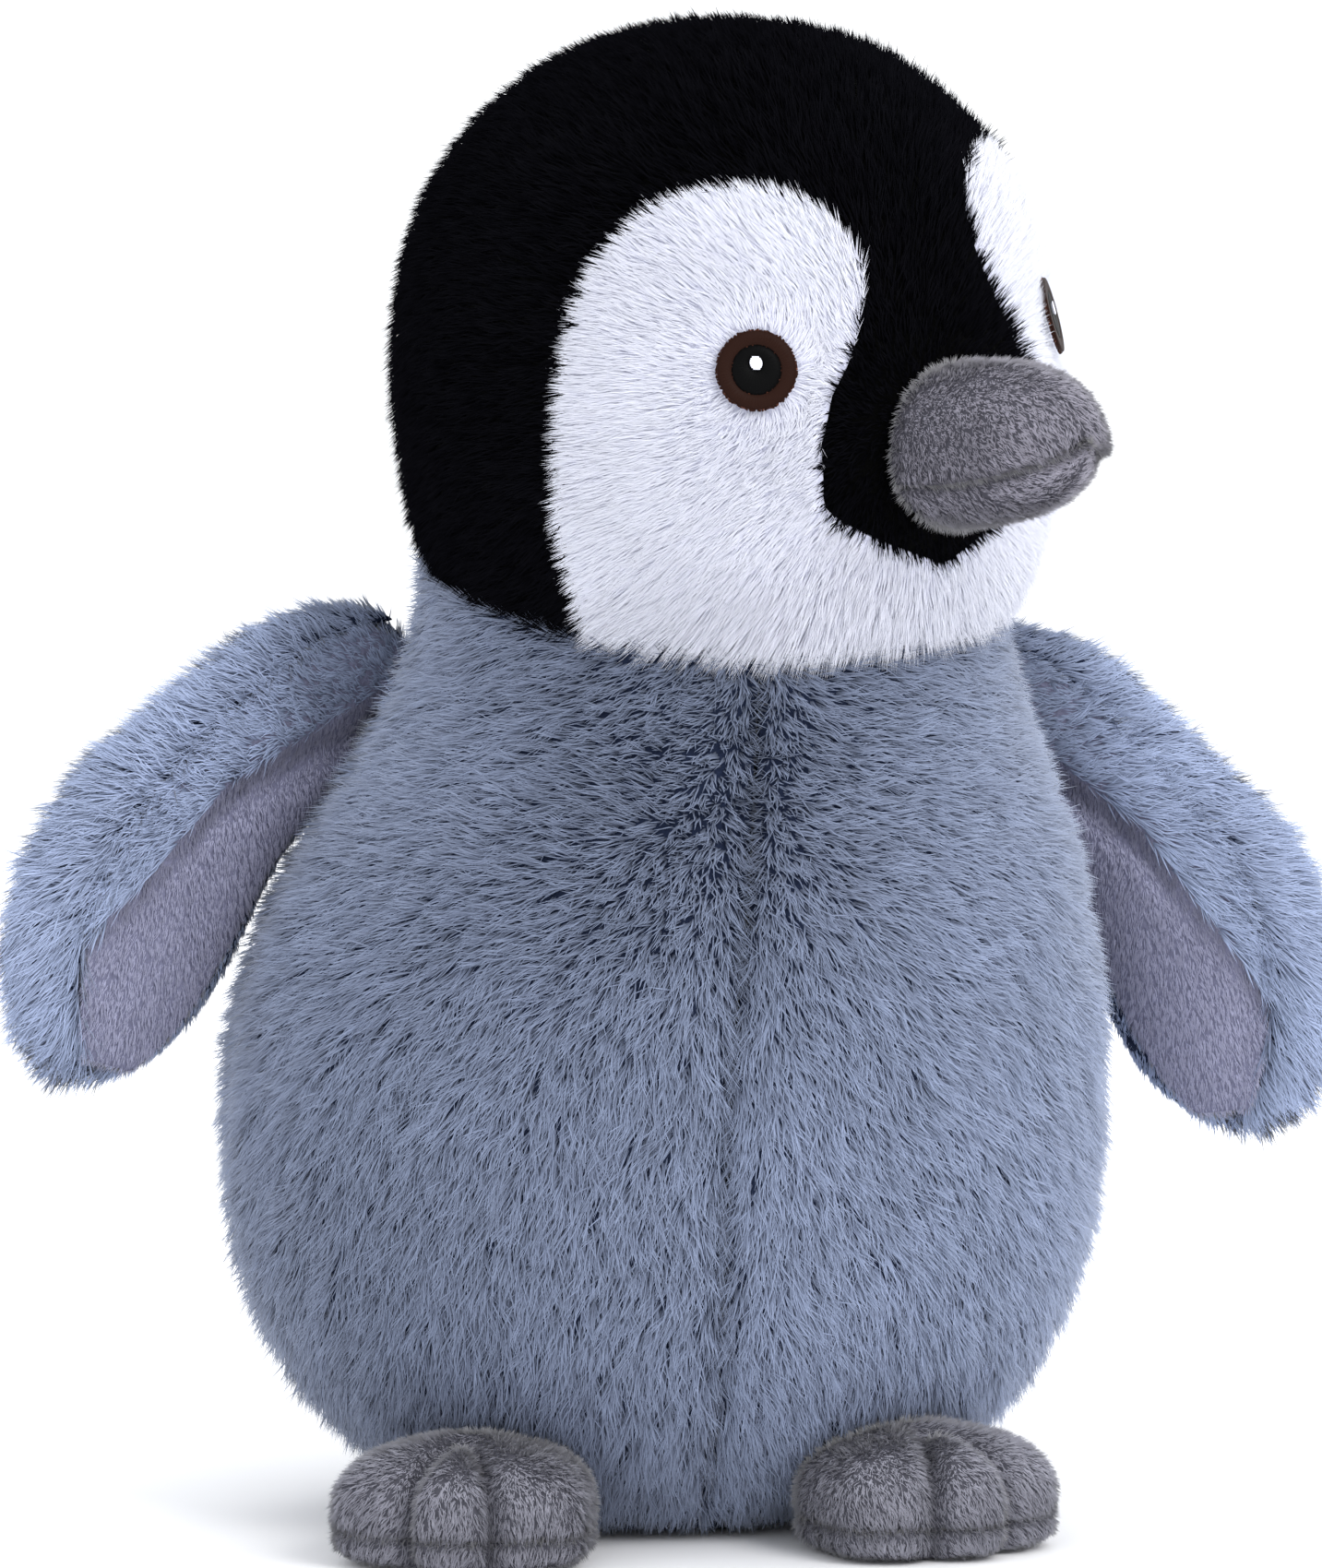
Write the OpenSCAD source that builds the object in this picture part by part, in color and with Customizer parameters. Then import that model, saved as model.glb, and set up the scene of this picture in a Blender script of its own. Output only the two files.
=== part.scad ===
// Stuffed penguin chick: sewn cloth panels over separate pads of fibre.
// The body faces -Y, +Z is up, and the origin is on the floor under the middle of the base.

/* [Torso] */
// Width of the belly at its widest
belly_w = 173; // [150:1:190]
// Depth of the belly, front to back
belly_d = 148; // [130:1:165]
// Height of the widest part of the belly
belly_h = 80; // [70:1:90]
// Width of the flat base
base_w = 76; // [60:1:90]
// Width of the body at the neck seam
neck_w = 113; // [104:1:118]
// Height at which the body has narrowed to the neck
neck_h = 181; // [176:1:186]
// Sideways lean of the neck over the base
lean = 9.5; // [0:0.5:12]

/* [Head] */
// Width of the head
head_w = 130; // [122:1:131]
// Height of the crown above the middle of the head
crown_h = 73; // [66:1:80]
// Depth of the chin below the middle of the head
chin_h = 62; // [58:1:63]
// Turn of the face from the body's front, towards +X
head_turn = 30.5; // [0:0.5:40]
// Tilt of the head towards its right shoulder
head_tilt = 7; // [0:0.5:8]
// Length of the beak
beak_l = 36; // [28:1:42]
// Height and width of the beak at its root
beak_w = 34; // [26:1:38]
// Width of an embroidered eye
eye_w = 15; // [12:1:18]

/* [Wings] */
// Length of a wing from its shoulder
wing_l = 92; // [84:1:100]
// Width of a wing
wing_w = 52; // [40:1:56]
// Thickness of a wing
wing_t = 19; // [14:1:22]
// Extra lift of the wing on the -X side at rest
right_lift = 14; // [0:1:20]
// Extra lift of the wing on the +X side at rest
left_lift = 4; // [0:1:20]

/* [Feet] */
// Width of a foot
foot_w = 54; // [44:1:58]
// Length of a foot
foot_l = 44; // [36:1:48]
// Height of a foot
foot_h = 24; // [18:1:26]
// Outward turn of a foot
foot_turn = 22; // [0:1:30]

/* [Cloth] */
// Thickness of a long-pile panel with its backing
plush_t = 3; // [2:0.5:4]
// Thickness of a short-pile panel
velour_t = 1.6; // [1:0.2:2]
// Gap between neighbouring pieces
gap = 0.5; // [0.4:0.1:1]

/* [Hidden] */
$fn = 48;

plush_grey = [0.49, 0.54, 0.67];
velour_mauve = [0.47, 0.48, 0.58];
velour_dark = [0.38, 0.38, 0.42];
plush_black = [0.05, 0.05, 0.06];
plush_white = [0.86, 0.86, 0.95];
fibre = [0.95, 0.95, 0.92];

// The head's middle, and the radius of the hollow at the top of the torso that it sits in
head_at = [lean + 2, -9, 221];
cup_r = 67.2;
// The round plug of fibre in the neck, and the floor of the recess that it fills
plug_r = 33;
plug_floor = 145;
// The pouch of beans that stands on the base
pouch_r = 34;
pouch_top = 22;
base_t = 3;
depth_ratio = belly_d / belly_w;

// ---- Closed shells from grids of points ----

// Two triangles for a four-sided cell
function cell(a, b, c, d) = [[a, b, c], [a, c, d]];
function turned(faces, flip) = flip ? [for (f = faces) [f[2], f[1], f[0]]] : faces;
// True where the grid's rows and columns run so that its cells face inwards
function faces_inward(outer, inner) =
    let (i = floor(len(outer) / 2), j = floor(len(outer[0]) / 2))
    let (across = outer[i][j + 1] - outer[i][j], along = outer[i + 1][j] - outer[i][j])
    cross(along, across) * (outer[i][j] - inner[i][j]) > 0;

// A sheet between an outer and an inner grid with the same rows and columns
module panel(outer, inner) {
    rows = len(outer) - 1;
    cols = len(outer[0]) - 1;
    half = (rows + 1) * (cols + 1);
    function o(i, j) = i * (cols + 1) + j;
    function n(i, j) = half + o(i, j);
    faces = [
        for (i = [0:rows - 1], j = [0:cols - 1])
            each cell(o(i, j), o(i + 1, j), o(i + 1, j + 1), o(i, j + 1)),
        for (i = [0:rows - 1], j = [0:cols - 1])
            each cell(n(i, j), n(i, j + 1), n(i + 1, j + 1), n(i + 1, j)),
        for (i = [0:rows - 1])
            each cell(o(i, 0), n(i, 0), n(i + 1, 0), o(i + 1, 0)),
        for (i = [0:rows - 1])
            each cell(o(i + 1, cols), n(i + 1, cols), n(i, cols), o(i, cols)),
        for (j = [0:cols - 1])
            each cell(o(0, j + 1), n(0, j + 1), n(0, j), o(0, j)),
        for (j = [0:cols - 1])
            each cell(o(rows, j), n(rows, j), n(rows, j + 1), o(rows, j + 1))
    ];
    points = [for (row = outer) each row, for (row = inner) each row];
    polyhedron(points, turned(faces, faces_inward(outer, inner)));
}

// A solid through closed rings of points, ordered from one end to the other
module body_of_rings(rings) {
    rows = len(rings) - 1;
    cols = len(rings[0]);
    function p(i, j) = i * cols + j % cols;
    function middle(ring) = [for (k = [0:2]) [for (q = ring) q[k]] * [for (q = ring) 1] / cols];
    first = (rows + 1) * cols;
    faces = [
        for (i = [0:rows - 1], j = [0:cols - 1])
            each cell(p(i, j), p(i + 1, j), p(i + 1, j + 1), p(i, j + 1)),
        for (j = [0:cols - 1]) [first, p(0, j), p(0, j + 1)],
        for (j = [0:cols - 1]) [first + 1, p(rows, j + 1), p(rows, j)]
    ];
    points = [for (ring = rings) each ring, middle(rings[0]), middle(rings[rows])];
    polyhedron(points, faces);
}

// A disc of grid points: the square from -1 to 1 both ways, as distance and angle
function disc_at(a, b) =
    let (x = a * sqrt(1 - b * b / 2), y = b * sqrt(1 - a * a / 2))
    [norm([x, y]), atan2(y, x)];
function steps(from, to, n) = [for (i = [0:n]) from + (to - from) * i / n];

// ---- Torso ----

// Half the body's width at height z: a full belly below, an easy curve up to the neck
function torso_r(z) =
    z < belly_h
    ? belly_w / 2 * sqrt(1 - (1 - pow(base_w / belly_w, 2)) * pow(1 - z / belly_h, 2.3))
    : neck_w / 2 + (belly_w - neck_w) / 2
        * (1 + cos(180 * pow(min(1, (z - belly_h) / (neck_h - belly_h)), 1.4))) / 2;
// Sideways lean at height z
function torso_x(z) =
    let (t = max(0, min(1, (z - belly_h) / (neck_h - belly_h)))) lean * t * t * (3 - 2 * t);
// Depth over width: rounder at the neck than at the belly
function torso_flat(z) =
    let (t = max(0, min(1, (z - belly_h) / (neck_h - belly_h))))
    depth_ratio + (1 - depth_ratio) * t;
// Point at angle a from the front, height z and depth in under the surface
function torso_at(a, z, in) =
    [torso_x(z) + (torso_r(z) - in) * sin(a), -(torso_r(z) - in) * torso_flat(z) * cos(a), z];
// Height at which the surface, taken in by a distance, meets the hollow for the head
function rim_z(a, in) =
    let (p = torso_at(a, neck_h, in) - head_at)
    head_at[2] - sqrt(pow(cup_r, 2) - p[0] * p[0] - p[1] * p[1]);
function torso_grid(from, to, in) =
    [for (t = steps(0, 1, 14)) [for (a = steps(from, to, 9))
        torso_at(a, base_t + gap + (rim_z(a, in) - base_t - gap) * t, in)]];
// One quarter of the body's plush between two seams, which run up at the given angles
module torso_quarter(from, to) {
    seam = gap / 2;
    panel(torso_grid(from + seam, to - seam, 0), torso_grid(from + seam, to - seam, plush_t));
}
module belly_left() {
    color(plush_grey) torso_quarter(0, 90);
}
module belly_right() {
    color(plush_grey) torso_quarter(-90, 0);
}
module back_left() {
    color(plush_grey) torso_quarter(90, 180);
}
module back_right() {
    color(plush_grey) torso_quarter(-180, -90);
}

function ring(at, r, z, flat = 1) =
    [for (a = [0:15:345]) [at[0] + r * sin(a), at[1] - r * flat * cos(a), z]];
module base_panel() {
    color(plush_grey) body_of_rings([
        ring([0, 0], base_w / 2, 0, depth_ratio),
        ring([0, 0], torso_r(base_t) - plush_t / 2, base_t, depth_ratio)
    ]);
}
// Point of the hollow under the head, a share t of the way from the neck plug out to the rim
function hollow_at(a, t) =
    let (in = plush_t + 2 * gap, rim = torso_at(a, neck_h, in), r = plug_r + gap)
    let (x = head_at[0] + r * sin(a), y = head_at[1] - r * cos(a))
    let (p = [x + (rim[0] - x) * t, y + (rim[1] - y) * t], q = p - [head_at[0], head_at[1]])
    [p[0], p[1], head_at[2] - sqrt(pow(cup_r + gap, 2) - q * q)];
// Fibre that fills the torso, hollowed below for the beans and above for the neck and head
module torso_stuffing() {
    in = plush_t + 2 * gap;
    around = [0:15:345];
    color(fibre) body_of_rings([
        ring([0, 0], 2, pouch_top + gap),
        ring([0, 0], pouch_r + gap, pouch_top + gap, depth_ratio),
        ring([0, 0], pouch_r + 2 * gap, base_t + 2 * gap, depth_ratio),
        for (t = steps(0, 1, 12)) [for (a = around)
            torso_at(a, base_t + 2 * gap + (rim_z(a, in) - base_t - 3 * gap) * t, in)],
        for (t = [0.85, 0.6, 0.35, 0.15, 0]) [for (a = around) hollow_at(a, t)],
        ring(head_at, plug_r + gap, plug_floor),
        ring(head_at, 2, plug_floor)
    ]);
}
module bean_pouch() {
    color("tan") body_of_rings([
        for (t = steps(0, 1, 8)) let (z = base_t + gap + (pouch_top - base_t - gap) * t)
            ring([0, 0], pouch_r - 6 + 6 * sin(180 * t), z, depth_ratio)
    ]);
}
// Blank folded tape that stands out of the back seam, just over the base
module care_label() {
    label_z = 14;
    color("white") translate([-8, torso_at(180, label_z, 0)[1] + 2 * gap, label_z]) rotate([-25, 0, 0])
        cube([16, 20, 0.6]);
}
module neck_stuffing() {
    color(fibre) difference() {
        translate([head_at[0], head_at[1], plug_floor + gap]) cylinder(r = plug_r, h = 35);
        translate(head_at) sphere(r = cup_r - 2.4);
    }
}

// ---- Head ----

// Direction at a yaw from the face towards +X and a height above the horizon
function dir(yaw, up) = [sin(yaw) * cos(up), -cos(yaw) * cos(up), sin(up)];
// Distance from the head's middle to its surface along direction d
function head_r(d) =
    let (n = 2.25, tall = d[2] > 0 ? crown_h : chin_h)
    1 / pow(pow(norm([d[0], d[1]]) / (head_w / 2), n) + pow(abs(d[2]) / tall, n), 1 / n);
// The neck seam lies in one plane, which slopes down towards the body's front.
// Its normal is in the head's own frame, and its distance is from the head's middle.
seam_tilt = 15.6;
seam_side = sin(seam_tilt) * sin(head_turn);
seam_normal = [
    seam_side * cos(head_tilt) - cos(seam_tilt) * sin(head_tilt),
    sin(seam_tilt) * cos(head_turn),
    -seam_side * sin(head_tilt) - cos(seam_tilt) * cos(head_tilt)
];
seam_drop = 38;
// Height above the horizon at which the seam crosses a yaw
function seam_up(yaw, side) =
    let (a = side * seam_normal[0] * sin(yaw) - seam_normal[1] * cos(yaw), m = norm([a, seam_normal[2]]))
    atan2(seam_normal[2], a) + acos(seam_drop / (head_w / 2 + 1) / m);

// Middle of a white face patch, and its reach from there every 15 degrees, turning from the
// beak's side over the top to the back
patch_yaw = 41;
patch_reach = [
    17, 19, 27, 37, 41, 41, 40, 39, 36, 33, 30, 29,
    29, 31, 35, 41, 48, 54, 58, 60, 60, 21, 18, 16
];
// Height above the horizon of the point that the patch's panel is laid out from
patch_up = -14;
// The patch's edge against the hood runs straight along the bib under the beak, then over the
// top to the neck seam. These are the bib's two ends, as angles and a reach like those above,
// its height at the middle of the face, and its share of the edge.
bib_end = -38;
bib_corner = -45;
bib_up = -28;
bib_reach = 47.5;
edge_end = 232;
rear_yaw = 76;
bib = 4 / 36;
function reach(f) =
    let (k = (f + 360) % 360 / 15, i = floor(k), j = (i + 1) % 24)
    patch_reach[i] + (patch_reach[j] - patch_reach[i]) * (k - i);
function on_edge(u) =
    let (s = u / bib, t = (u - bib) / (1 - bib))
    let (f = u < bib ? bib_end + (bib_corner - bib_end) * s : bib_corner + (edge_end - bib_corner) * t)
    let (r = u < bib ? bib_reach + (reach(bib_corner) - bib_reach) * s : reach(f))
    dir(patch_yaw, 0) * cos(r) + (dir(patch_yaw - 90, 0) * cos(f) + [0, 0, 1] * sin(f)) * sin(r);
// The hood's far edge: up the middle of the face, over the crown and down to the nape, then
// forwards along the neck seam
nape = 26 / 36;
function hood_edge(u, side) =
    u <= nape
    ? let (p = bib_up + (180 - seam_up(180, side) - bib_up) * u / nape) [0, -cos(p), sin(p)]
    : let (yaw = 180 + (rear_yaw - 180) * (u - nape) / (1 - nape)) dir(yaw, seam_up(yaw, side));
// The patch's lower edge: down the middle of the chin, then back along the neck seam
chin = 4 / 36;
function chin_edge(u, side) =
    u <= chin
    ? dir(0, bib_up + (seam_up(0, side) - bib_up) * u / chin)
    : let (yaw = rear_yaw * (u - chin) / (1 - chin)) dir(yaw, seam_up(yaw, side));
// Point a share t of the way from one direction to another, in under the head's surface
function between(p, q, t, in) =
    let (w = max(0.01, acos(p * q)), e = (p * sin(w * (1 - t)) + q * sin(w * t)) / sin(w))
    e * (head_r(e) - in);
// Steps from 0 to 1 that stop half a seam's gap short of each end of a line between two directions
function within(p, q, n) =
    let (s = min(0.3, gap / 2 / 66 / max(0.01, norm(p - q)))) steps(s, 1 - s, n);
// Places what follows on the head, mirrored for the right side
module on_head(side) {
    translate(head_at) rotate([0, 0, head_turn]) rotate([0, -head_tilt, 0])
        mirror([side < 0 ? 1 : 0, 0, 0]) children();
}

function hood_grid(side, in) =
    [for (i = [0:36])
        let (u = max(0.01, min(0.99, i / 36)), p = on_edge(u), q = hood_edge(pow(u, 1.9), side))
        [for (t = within(p, q, 12)) between(p, q, t, in)]];
module hood(side) {
    on_head(side) panel(hood_grid(side, 0), hood_grid(side, plush_t));
}
// Point of the patch's whole outline, a share k of the way round it
along_hood = 0.66;
function patch_edge(k, side) =
    k < along_hood ? on_edge(k / along_hood) : chin_edge(max(0, (1 - k) / (1 - along_hood)), side);
// Point of the patch at polar position p, taken in by half a seam's gap at the outline
function patch_at(p, side, in) =
    let (m = dir(patch_yaw, patch_up), q = patch_edge((p[1] + 180) / 360, side), s = gap / 66 / norm(q - m))
    between(m, q, p[0] * (1 - s), in);
function patch_grid(side, in) =
    [for (a = steps(-1, 1, 18)) [for (b = steps(-1, 1, 18)) patch_at(disc_at(a, b), side, in)]];
module face_patch(side) {
    on_head(side) panel(patch_grid(side, 0), patch_grid(side, plush_t));
}
module hood_left() {
    color(plush_black) hood(1);
}
module hood_right() {
    color(plush_black) hood(-1);
}
module face_patch_left() {
    color(plush_white) face_patch(1);
}
module face_patch_right() {
    color(plush_white) face_patch(-1);
}
module head_stuffing() {
    in = plush_t + 2 * gap;
    color(fibre) on_head(1) rotate_extrude() polygon([
        for (up = [-90:6:90]) let (d = dir(90, up), r = head_r(d) - in)
            [up * up == 8100 ? 0 : d[0] * r, d[2] * r]
    ]);
}

// ---- Eyes: thread discs on the face patches ----
eye_yaw_left = 42;
eye_yaw_right = 35.5;
eye_up = 10;
stitch_t = 0.9;
pupil_r = eye_w * 0.31;
glint_r = 1.1;
glint_up = 1.2;
module on_eye(side) {
    on_head(side) rotate([0, 0, side < 0 ? eye_yaw_right : eye_yaw_left]) rotate([90 - eye_up, 0, 0])
        translate([0, 0, head_r(dir(0, eye_up)) + gap]) children();
}
module iris(side) {
    color([0.25, 0.17, 0.15]) on_eye(side) difference() {
        cylinder(r = eye_w / 2, h = stitch_t);
        translate([0, 0, -1]) cylinder(r = pupil_r + 0.1, h = stitch_t + 2);
    }
}
module pupil(side) {
    color([0.05, 0.05, 0.07]) on_eye(side) difference() {
        cylinder(r = pupil_r, h = stitch_t);
        translate([0, glint_up, -1]) cylinder(r = glint_r + 0.1, h = stitch_t + 2);
    }
}
module glint(side) {
    color("white") on_eye(side) translate([0, glint_up, 0]) cylinder(r = glint_r, h = stitch_t);
}
module iris_left() {
    iris(1);
}
module iris_right() {
    iris(-1);
}
module pupil_left() {
    pupil(1);
}
module pupil_right() {
    pupil(-1);
}
module glint_left() {
    glint(1);
}
module glint_right() {
    glint(-1);
}

// ---- Beak: an upper and a lower panel that meet at the mouth ----
beak_z = -9;
beak_rise = 2.5;
beak_root = head_w / 2;
mouth = -20;
// Radius along the beak: full at the root, round at the tip
function beak_r(t) = beak_w / 2 * sqrt(1 - pow(t, 3));
// Point a share t of the way to the tip and at angle a from the beak's side, taken in by a
// distance. The beak rises to its tip and is shallower below.
function beak_at(t, a, in) =
    let (r = max(0.4, beak_r(t) - in), deep = sin(a) < 0 ? 0.85 : 1)
    [r * cos(a), -beak_root - beak_l * t + in * t, beak_z + beak_rise * t + deep * r * sin(a)];
function beak_grid(from, to, in) =
    [for (t = [0, 0.2, 0.4, 0.55, 0.7, 0.8, 0.88, 0.94, 0.975, 0.992, 0.999])
        [for (a = steps(from, to, 14)) beak_at(t, a, in)]];
module beak_panel(from, to) {
    color(velour_dark) on_head(1) panel(beak_grid(from, to, 0), beak_grid(from, to, velour_t));
}
module beak_upper() {
    beak_panel(mouth + 2, 180 - mouth - 2);
}
module beak_lower() {
    beak_panel(180 - mouth + 2, 360 + mouth - 2);
}
module beak_stuffing() {
    in = velour_t + gap;
    color(fibre) on_head(1) body_of_rings([
        for (t = [0.02, 0.3, 0.5, 0.7, 0.85, 0.93]) [for (a = [0:20:340]) beak_at(t, a, in)]
    ]);
}

// ---- Wings ----

wing_curl = 40;
wing_face = 25;
root_w = 32;
root_t = 15;
// The half next to the body is this much narrower than the outer half
body_share = 0.88;
// The wing's middle line, from the shoulder out and down, in the wing's own plane
function wing_mid(t) =
    let (k = wing_curl, s = max(0, t), e = min(0, t) * wing_l)
    [(cos(k * (1 - s)) - cos(k)) * wing_l * 180 / (PI * k) + e * sin(k),
     -(sin(k) - sin(k * (1 - s))) * wing_l * 180 / (PI * k) - e * cos(k)];
function wing_lean(t) = wing_curl * (1 - max(0, t));
// Half width and half thickness: a round root, a broad middle and a round tip
function wing_half_w(t) =
    t < 0 ? sqrt(max(0.5, pow(root_w / 2, 2) - pow(t * wing_l, 2)))
    : (root_w / 2 + (wing_w - root_w) / 2 * sin(90 * min(1, t / 0.55)))
        * sqrt(max(0.004, 1 - pow(max(0, (t - 0.6) / 0.4), 2.2)));
function wing_half_t(t) =
    (t < 0 ? root_t / 2 * wing_half_w(t) / (root_w / 2)
    : (root_t + (wing_t - root_t) * sin(180 * min(1, t))) / 2 * sqrt(max(0.01, 1 - pow(max(0, t), 5))));
// Point at station t and angle a round the section, taken in under the surface.
// Angle 0 is the outer edge, 90 the side that faces forwards.
function wing_at(t, a, in) =
    let (m = wing_mid(t), k = wing_lean(t))
    let (w = max(0.2, wing_half_w(t) - in) * cos(a) * (abs(a - 180) < 90 ? body_share : 1))
    let (n = max(0.2, wing_half_t(t) - in) * sin(a))
    [m[0] + w * cos(k), -n, m[1] + w * sin(k)];
wing_stations = [-0.14, -0.1, -0.04, 0.04, 0.15, 0.28, 0.42, 0.56, 0.68, 0.78, 0.86, 0.92, 0.96, 0.985];
// How far the inner panel reaches either side of angle 90: less towards the outer edge
inner_reach = 62;
outer_share = 0.62;
function inner_span(t) = inner_reach * sqrt(max(0.0001, 1 - pow(max(0, t) / 0.97, 4)));
function wing_grid(stations, outer, in) =
    [for (t = stations) let (h = inner_span(t), near = 91 - outer_share * h, far = 89 + h)
        [for (a = outer ? steps(far + 2, near + 358, 14) : steps(near, far, 14)) wing_at(t, a, in)]];
shoulder_left = [85, 20, 157];
shoulder_right = [-70, 16, 164];
module on_shoulder(side) {
    translate(side > 0 ? shoulder_left : shoulder_right) mirror([side < 0 ? 1 : 0, 0, 0])
        rotate([0, 0, -wing_face]) rotate([0, side < 0 ? -right_lift : -left_lift, 0]) children();
}
module wing_outer(side) {
    color(plush_grey) on_shoulder(side)
        panel(wing_grid(wing_stations, true, 0), wing_grid(wing_stations, true, velour_t));
}
module wing_inner(side) {
    stations = [for (i = [1:11]) wing_stations[i]];
    color(velour_mauve) on_shoulder(side)
        panel(wing_grid(stations, false, 0), wing_grid(stations, false, velour_t));
}
module wing_stuffing(side) {
    in = velour_t + gap;
    color(fibre) on_shoulder(side) body_of_rings([
        for (i = [1:12]) [for (a = [0:20:340]) wing_at(wing_stations[i], a, in)]
    ]);
}
module wing_left_outer() {
    wing_outer(1);
}
module wing_left_inner() {
    wing_inner(1);
}
module wing_left_stuffing() {
    wing_stuffing(1);
}
module wing_right_outer() {
    wing_outer(-1);
}
module wing_right_inner() {
    wing_inner(-1);
}
module wing_right_stuffing() {
    wing_stuffing(-1);
}

// ---- Feet ----

foot_at = [43.5, -55, 0];
feet_shift = -3.5;
foot_seam = 7;
// Clear height left under the belly
belly_room = 2.4;
// Reach of the stuffing, as a share of the foot's outline
fill_share = 0.9;
// Outline with three toes at the front
function foot_reach(f) =
    let (front = cos(f) > 0, long = front ? foot_l * 0.56 : foot_l * 0.44)
    let (r = 1 / pow(pow(abs(sin(f)) / (foot_w / 2), 2.4) + pow(abs(cos(f)) / long, 2.4), 1 / 2.4))
    r * (front ? 0.96 + 0.05 * cos(f * 6) : 0.91);
// Height at which the torso's surface stands over a point, less a clearance
function room_over(p) =
    let (e = norm([p[0], p[1] / depth_ratio]) / (belly_w / 2), k = 1 - pow(base_w / belly_w, 2))
    e >= 1 ? 99 : belly_h * (1 - pow((1 - e * e) / k, 1 / 2.3)) - belly_room;
function foot_place(r, f, side) =
    let (a = f + foot_turn)
    [feet_shift + side * (foot_at[0] + r * sin(a)), foot_at[1] - r * cos(a)];
function foot_top_at(p, f, side, in) =
    let (r = max(0.01, p * (foot_reach(f) - in)), q = foot_place(r, f, side))
    let (dome = foot_seam + (foot_h - foot_seam) * sqrt(max(0, 1 - pow(p, 2.4))))
    [q[0], q[1], max(foot_seam, min(dome, room_over(q))) - in * (p < 0.99 ? 1 : 0)];
function foot_sole_at(p, f, side, in) =
    let (r = max(0.01, p * (foot_reach(f) - in)), q = foot_place(r, f, side))
    [q[0], q[1], in + (foot_seam - gap - in) * pow(p, 9)];
function foot_grid(side, in, top, share = 1) =
    [for (a = steps(-1, 1, 14)) [for (b = steps(-1, 1, 14)) let (d = disc_at(a, b), p = d[0] * share)
        top ? foot_top_at(p, d[1], side, in) : foot_sole_at(p, d[1], side, in)]];
module foot_top(side) {
    color(velour_dark) panel(foot_grid(side, 0, true), foot_grid(side, velour_t, true));
}
module foot_sole(side) {
    color(velour_dark) panel(foot_grid(side, 0, false), foot_grid(side, velour_t, false));
}
module foot_stuffing(side) {
    in = velour_t + gap;
    color(fibre) panel(foot_grid(side, in, true, fill_share), foot_grid(side, in, false, fill_share));
}
module foot_left_top() {
    foot_top(1);
}
module foot_left_sole() {
    foot_sole(1);
}
module foot_left_stuffing() {
    foot_stuffing(1);
}
module foot_right_top() {
    foot_top(-1);
}
module foot_right_sole() {
    foot_sole(-1);
}
module foot_right_stuffing() {
    foot_stuffing(-1);
}

belly_left();
belly_right();
back_left();
back_right();
base_panel();
torso_stuffing();
bean_pouch();
care_label();
neck_stuffing();
hood_left();
hood_right();
face_patch_left();
face_patch_right();
head_stuffing();
beak_upper();
beak_lower();
beak_stuffing();
iris_left();
iris_right();
pupil_left();
pupil_right();
glint_left();
glint_right();
wing_left_outer();
wing_left_inner();
wing_left_stuffing();
wing_right_outer();
wing_right_inner();
wing_right_stuffing();
foot_left_top();
foot_left_sole();
foot_left_stuffing();
foot_right_top();
foot_right_sole();
foot_right_stuffing();
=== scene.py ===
import math
from collections import namedtuple

import bmesh
import bpy
import numpy as np
from bpy.props import FloatProperty, FloatVectorProperty, PointerProperty
from mathutils import Matrix, Vector
from mathutils.bvhtree import BVHTree


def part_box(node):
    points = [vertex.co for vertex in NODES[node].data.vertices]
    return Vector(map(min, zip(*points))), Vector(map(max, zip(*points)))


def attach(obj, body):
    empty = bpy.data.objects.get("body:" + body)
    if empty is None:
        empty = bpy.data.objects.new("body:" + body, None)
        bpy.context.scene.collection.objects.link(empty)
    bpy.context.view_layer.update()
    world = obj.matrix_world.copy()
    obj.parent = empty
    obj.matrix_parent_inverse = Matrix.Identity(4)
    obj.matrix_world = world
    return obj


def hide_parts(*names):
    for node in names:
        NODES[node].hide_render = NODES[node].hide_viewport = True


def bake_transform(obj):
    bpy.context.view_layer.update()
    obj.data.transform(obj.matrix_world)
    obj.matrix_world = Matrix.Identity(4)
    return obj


bl_info = {
    "name": "Plush Penguin",
    "version": (1, 0, 0),
    "blender": (4, 5, 0),
    "location": "View3D > Sidebar > Penguin",
    "description": "Makes the sewn cloth, combed pile and embroidery of a stuffed penguin chick",
    "category": "Object",
}

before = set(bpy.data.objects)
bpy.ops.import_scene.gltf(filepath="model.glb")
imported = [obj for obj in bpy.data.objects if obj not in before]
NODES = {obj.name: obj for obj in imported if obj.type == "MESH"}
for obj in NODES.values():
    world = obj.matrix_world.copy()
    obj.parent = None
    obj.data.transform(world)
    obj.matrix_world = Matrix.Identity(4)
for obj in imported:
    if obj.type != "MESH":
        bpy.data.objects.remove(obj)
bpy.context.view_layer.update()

SIDES = {"left": 1, "right": -1}

# Places that the part's source also gives, in metres and degrees
HEAD_AT = Vector((0.0115, -0.009, 0.221))
HEAD_TURN = 30.5
HEAD_TILT = 7
BEAK_ROOT = Vector((0, -0.065, -0.009))
BEAK_LONG = 0.036
EYE_YAW = {"left": 42, "right": 35.5}
EYE_UP = 10
EYE_DEPTH = 0.0655
SHOULDER = {"left": Vector((0.085, 0.020, 0.157)), "right": Vector((-0.070, 0.016, 0.164))}
WING_FACE = 25
WING_LIFT = {"left": 4, "right": 14}
FOOT_TURN = 22
# Angles of a foot's two stitched grooves from its middle line, and the height of its seam
TOE_GROOVES = (-24, 21)
FOOT_SEAM = 0.0068
# Radius round an eye's middle that is left without pile
EYE_BARE = 0.0072

# Points this near to each other are merged, and edges that turn more than this many radians stay cut
MERGE = 0.00002
CUT_EDGE = 0.9
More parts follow.
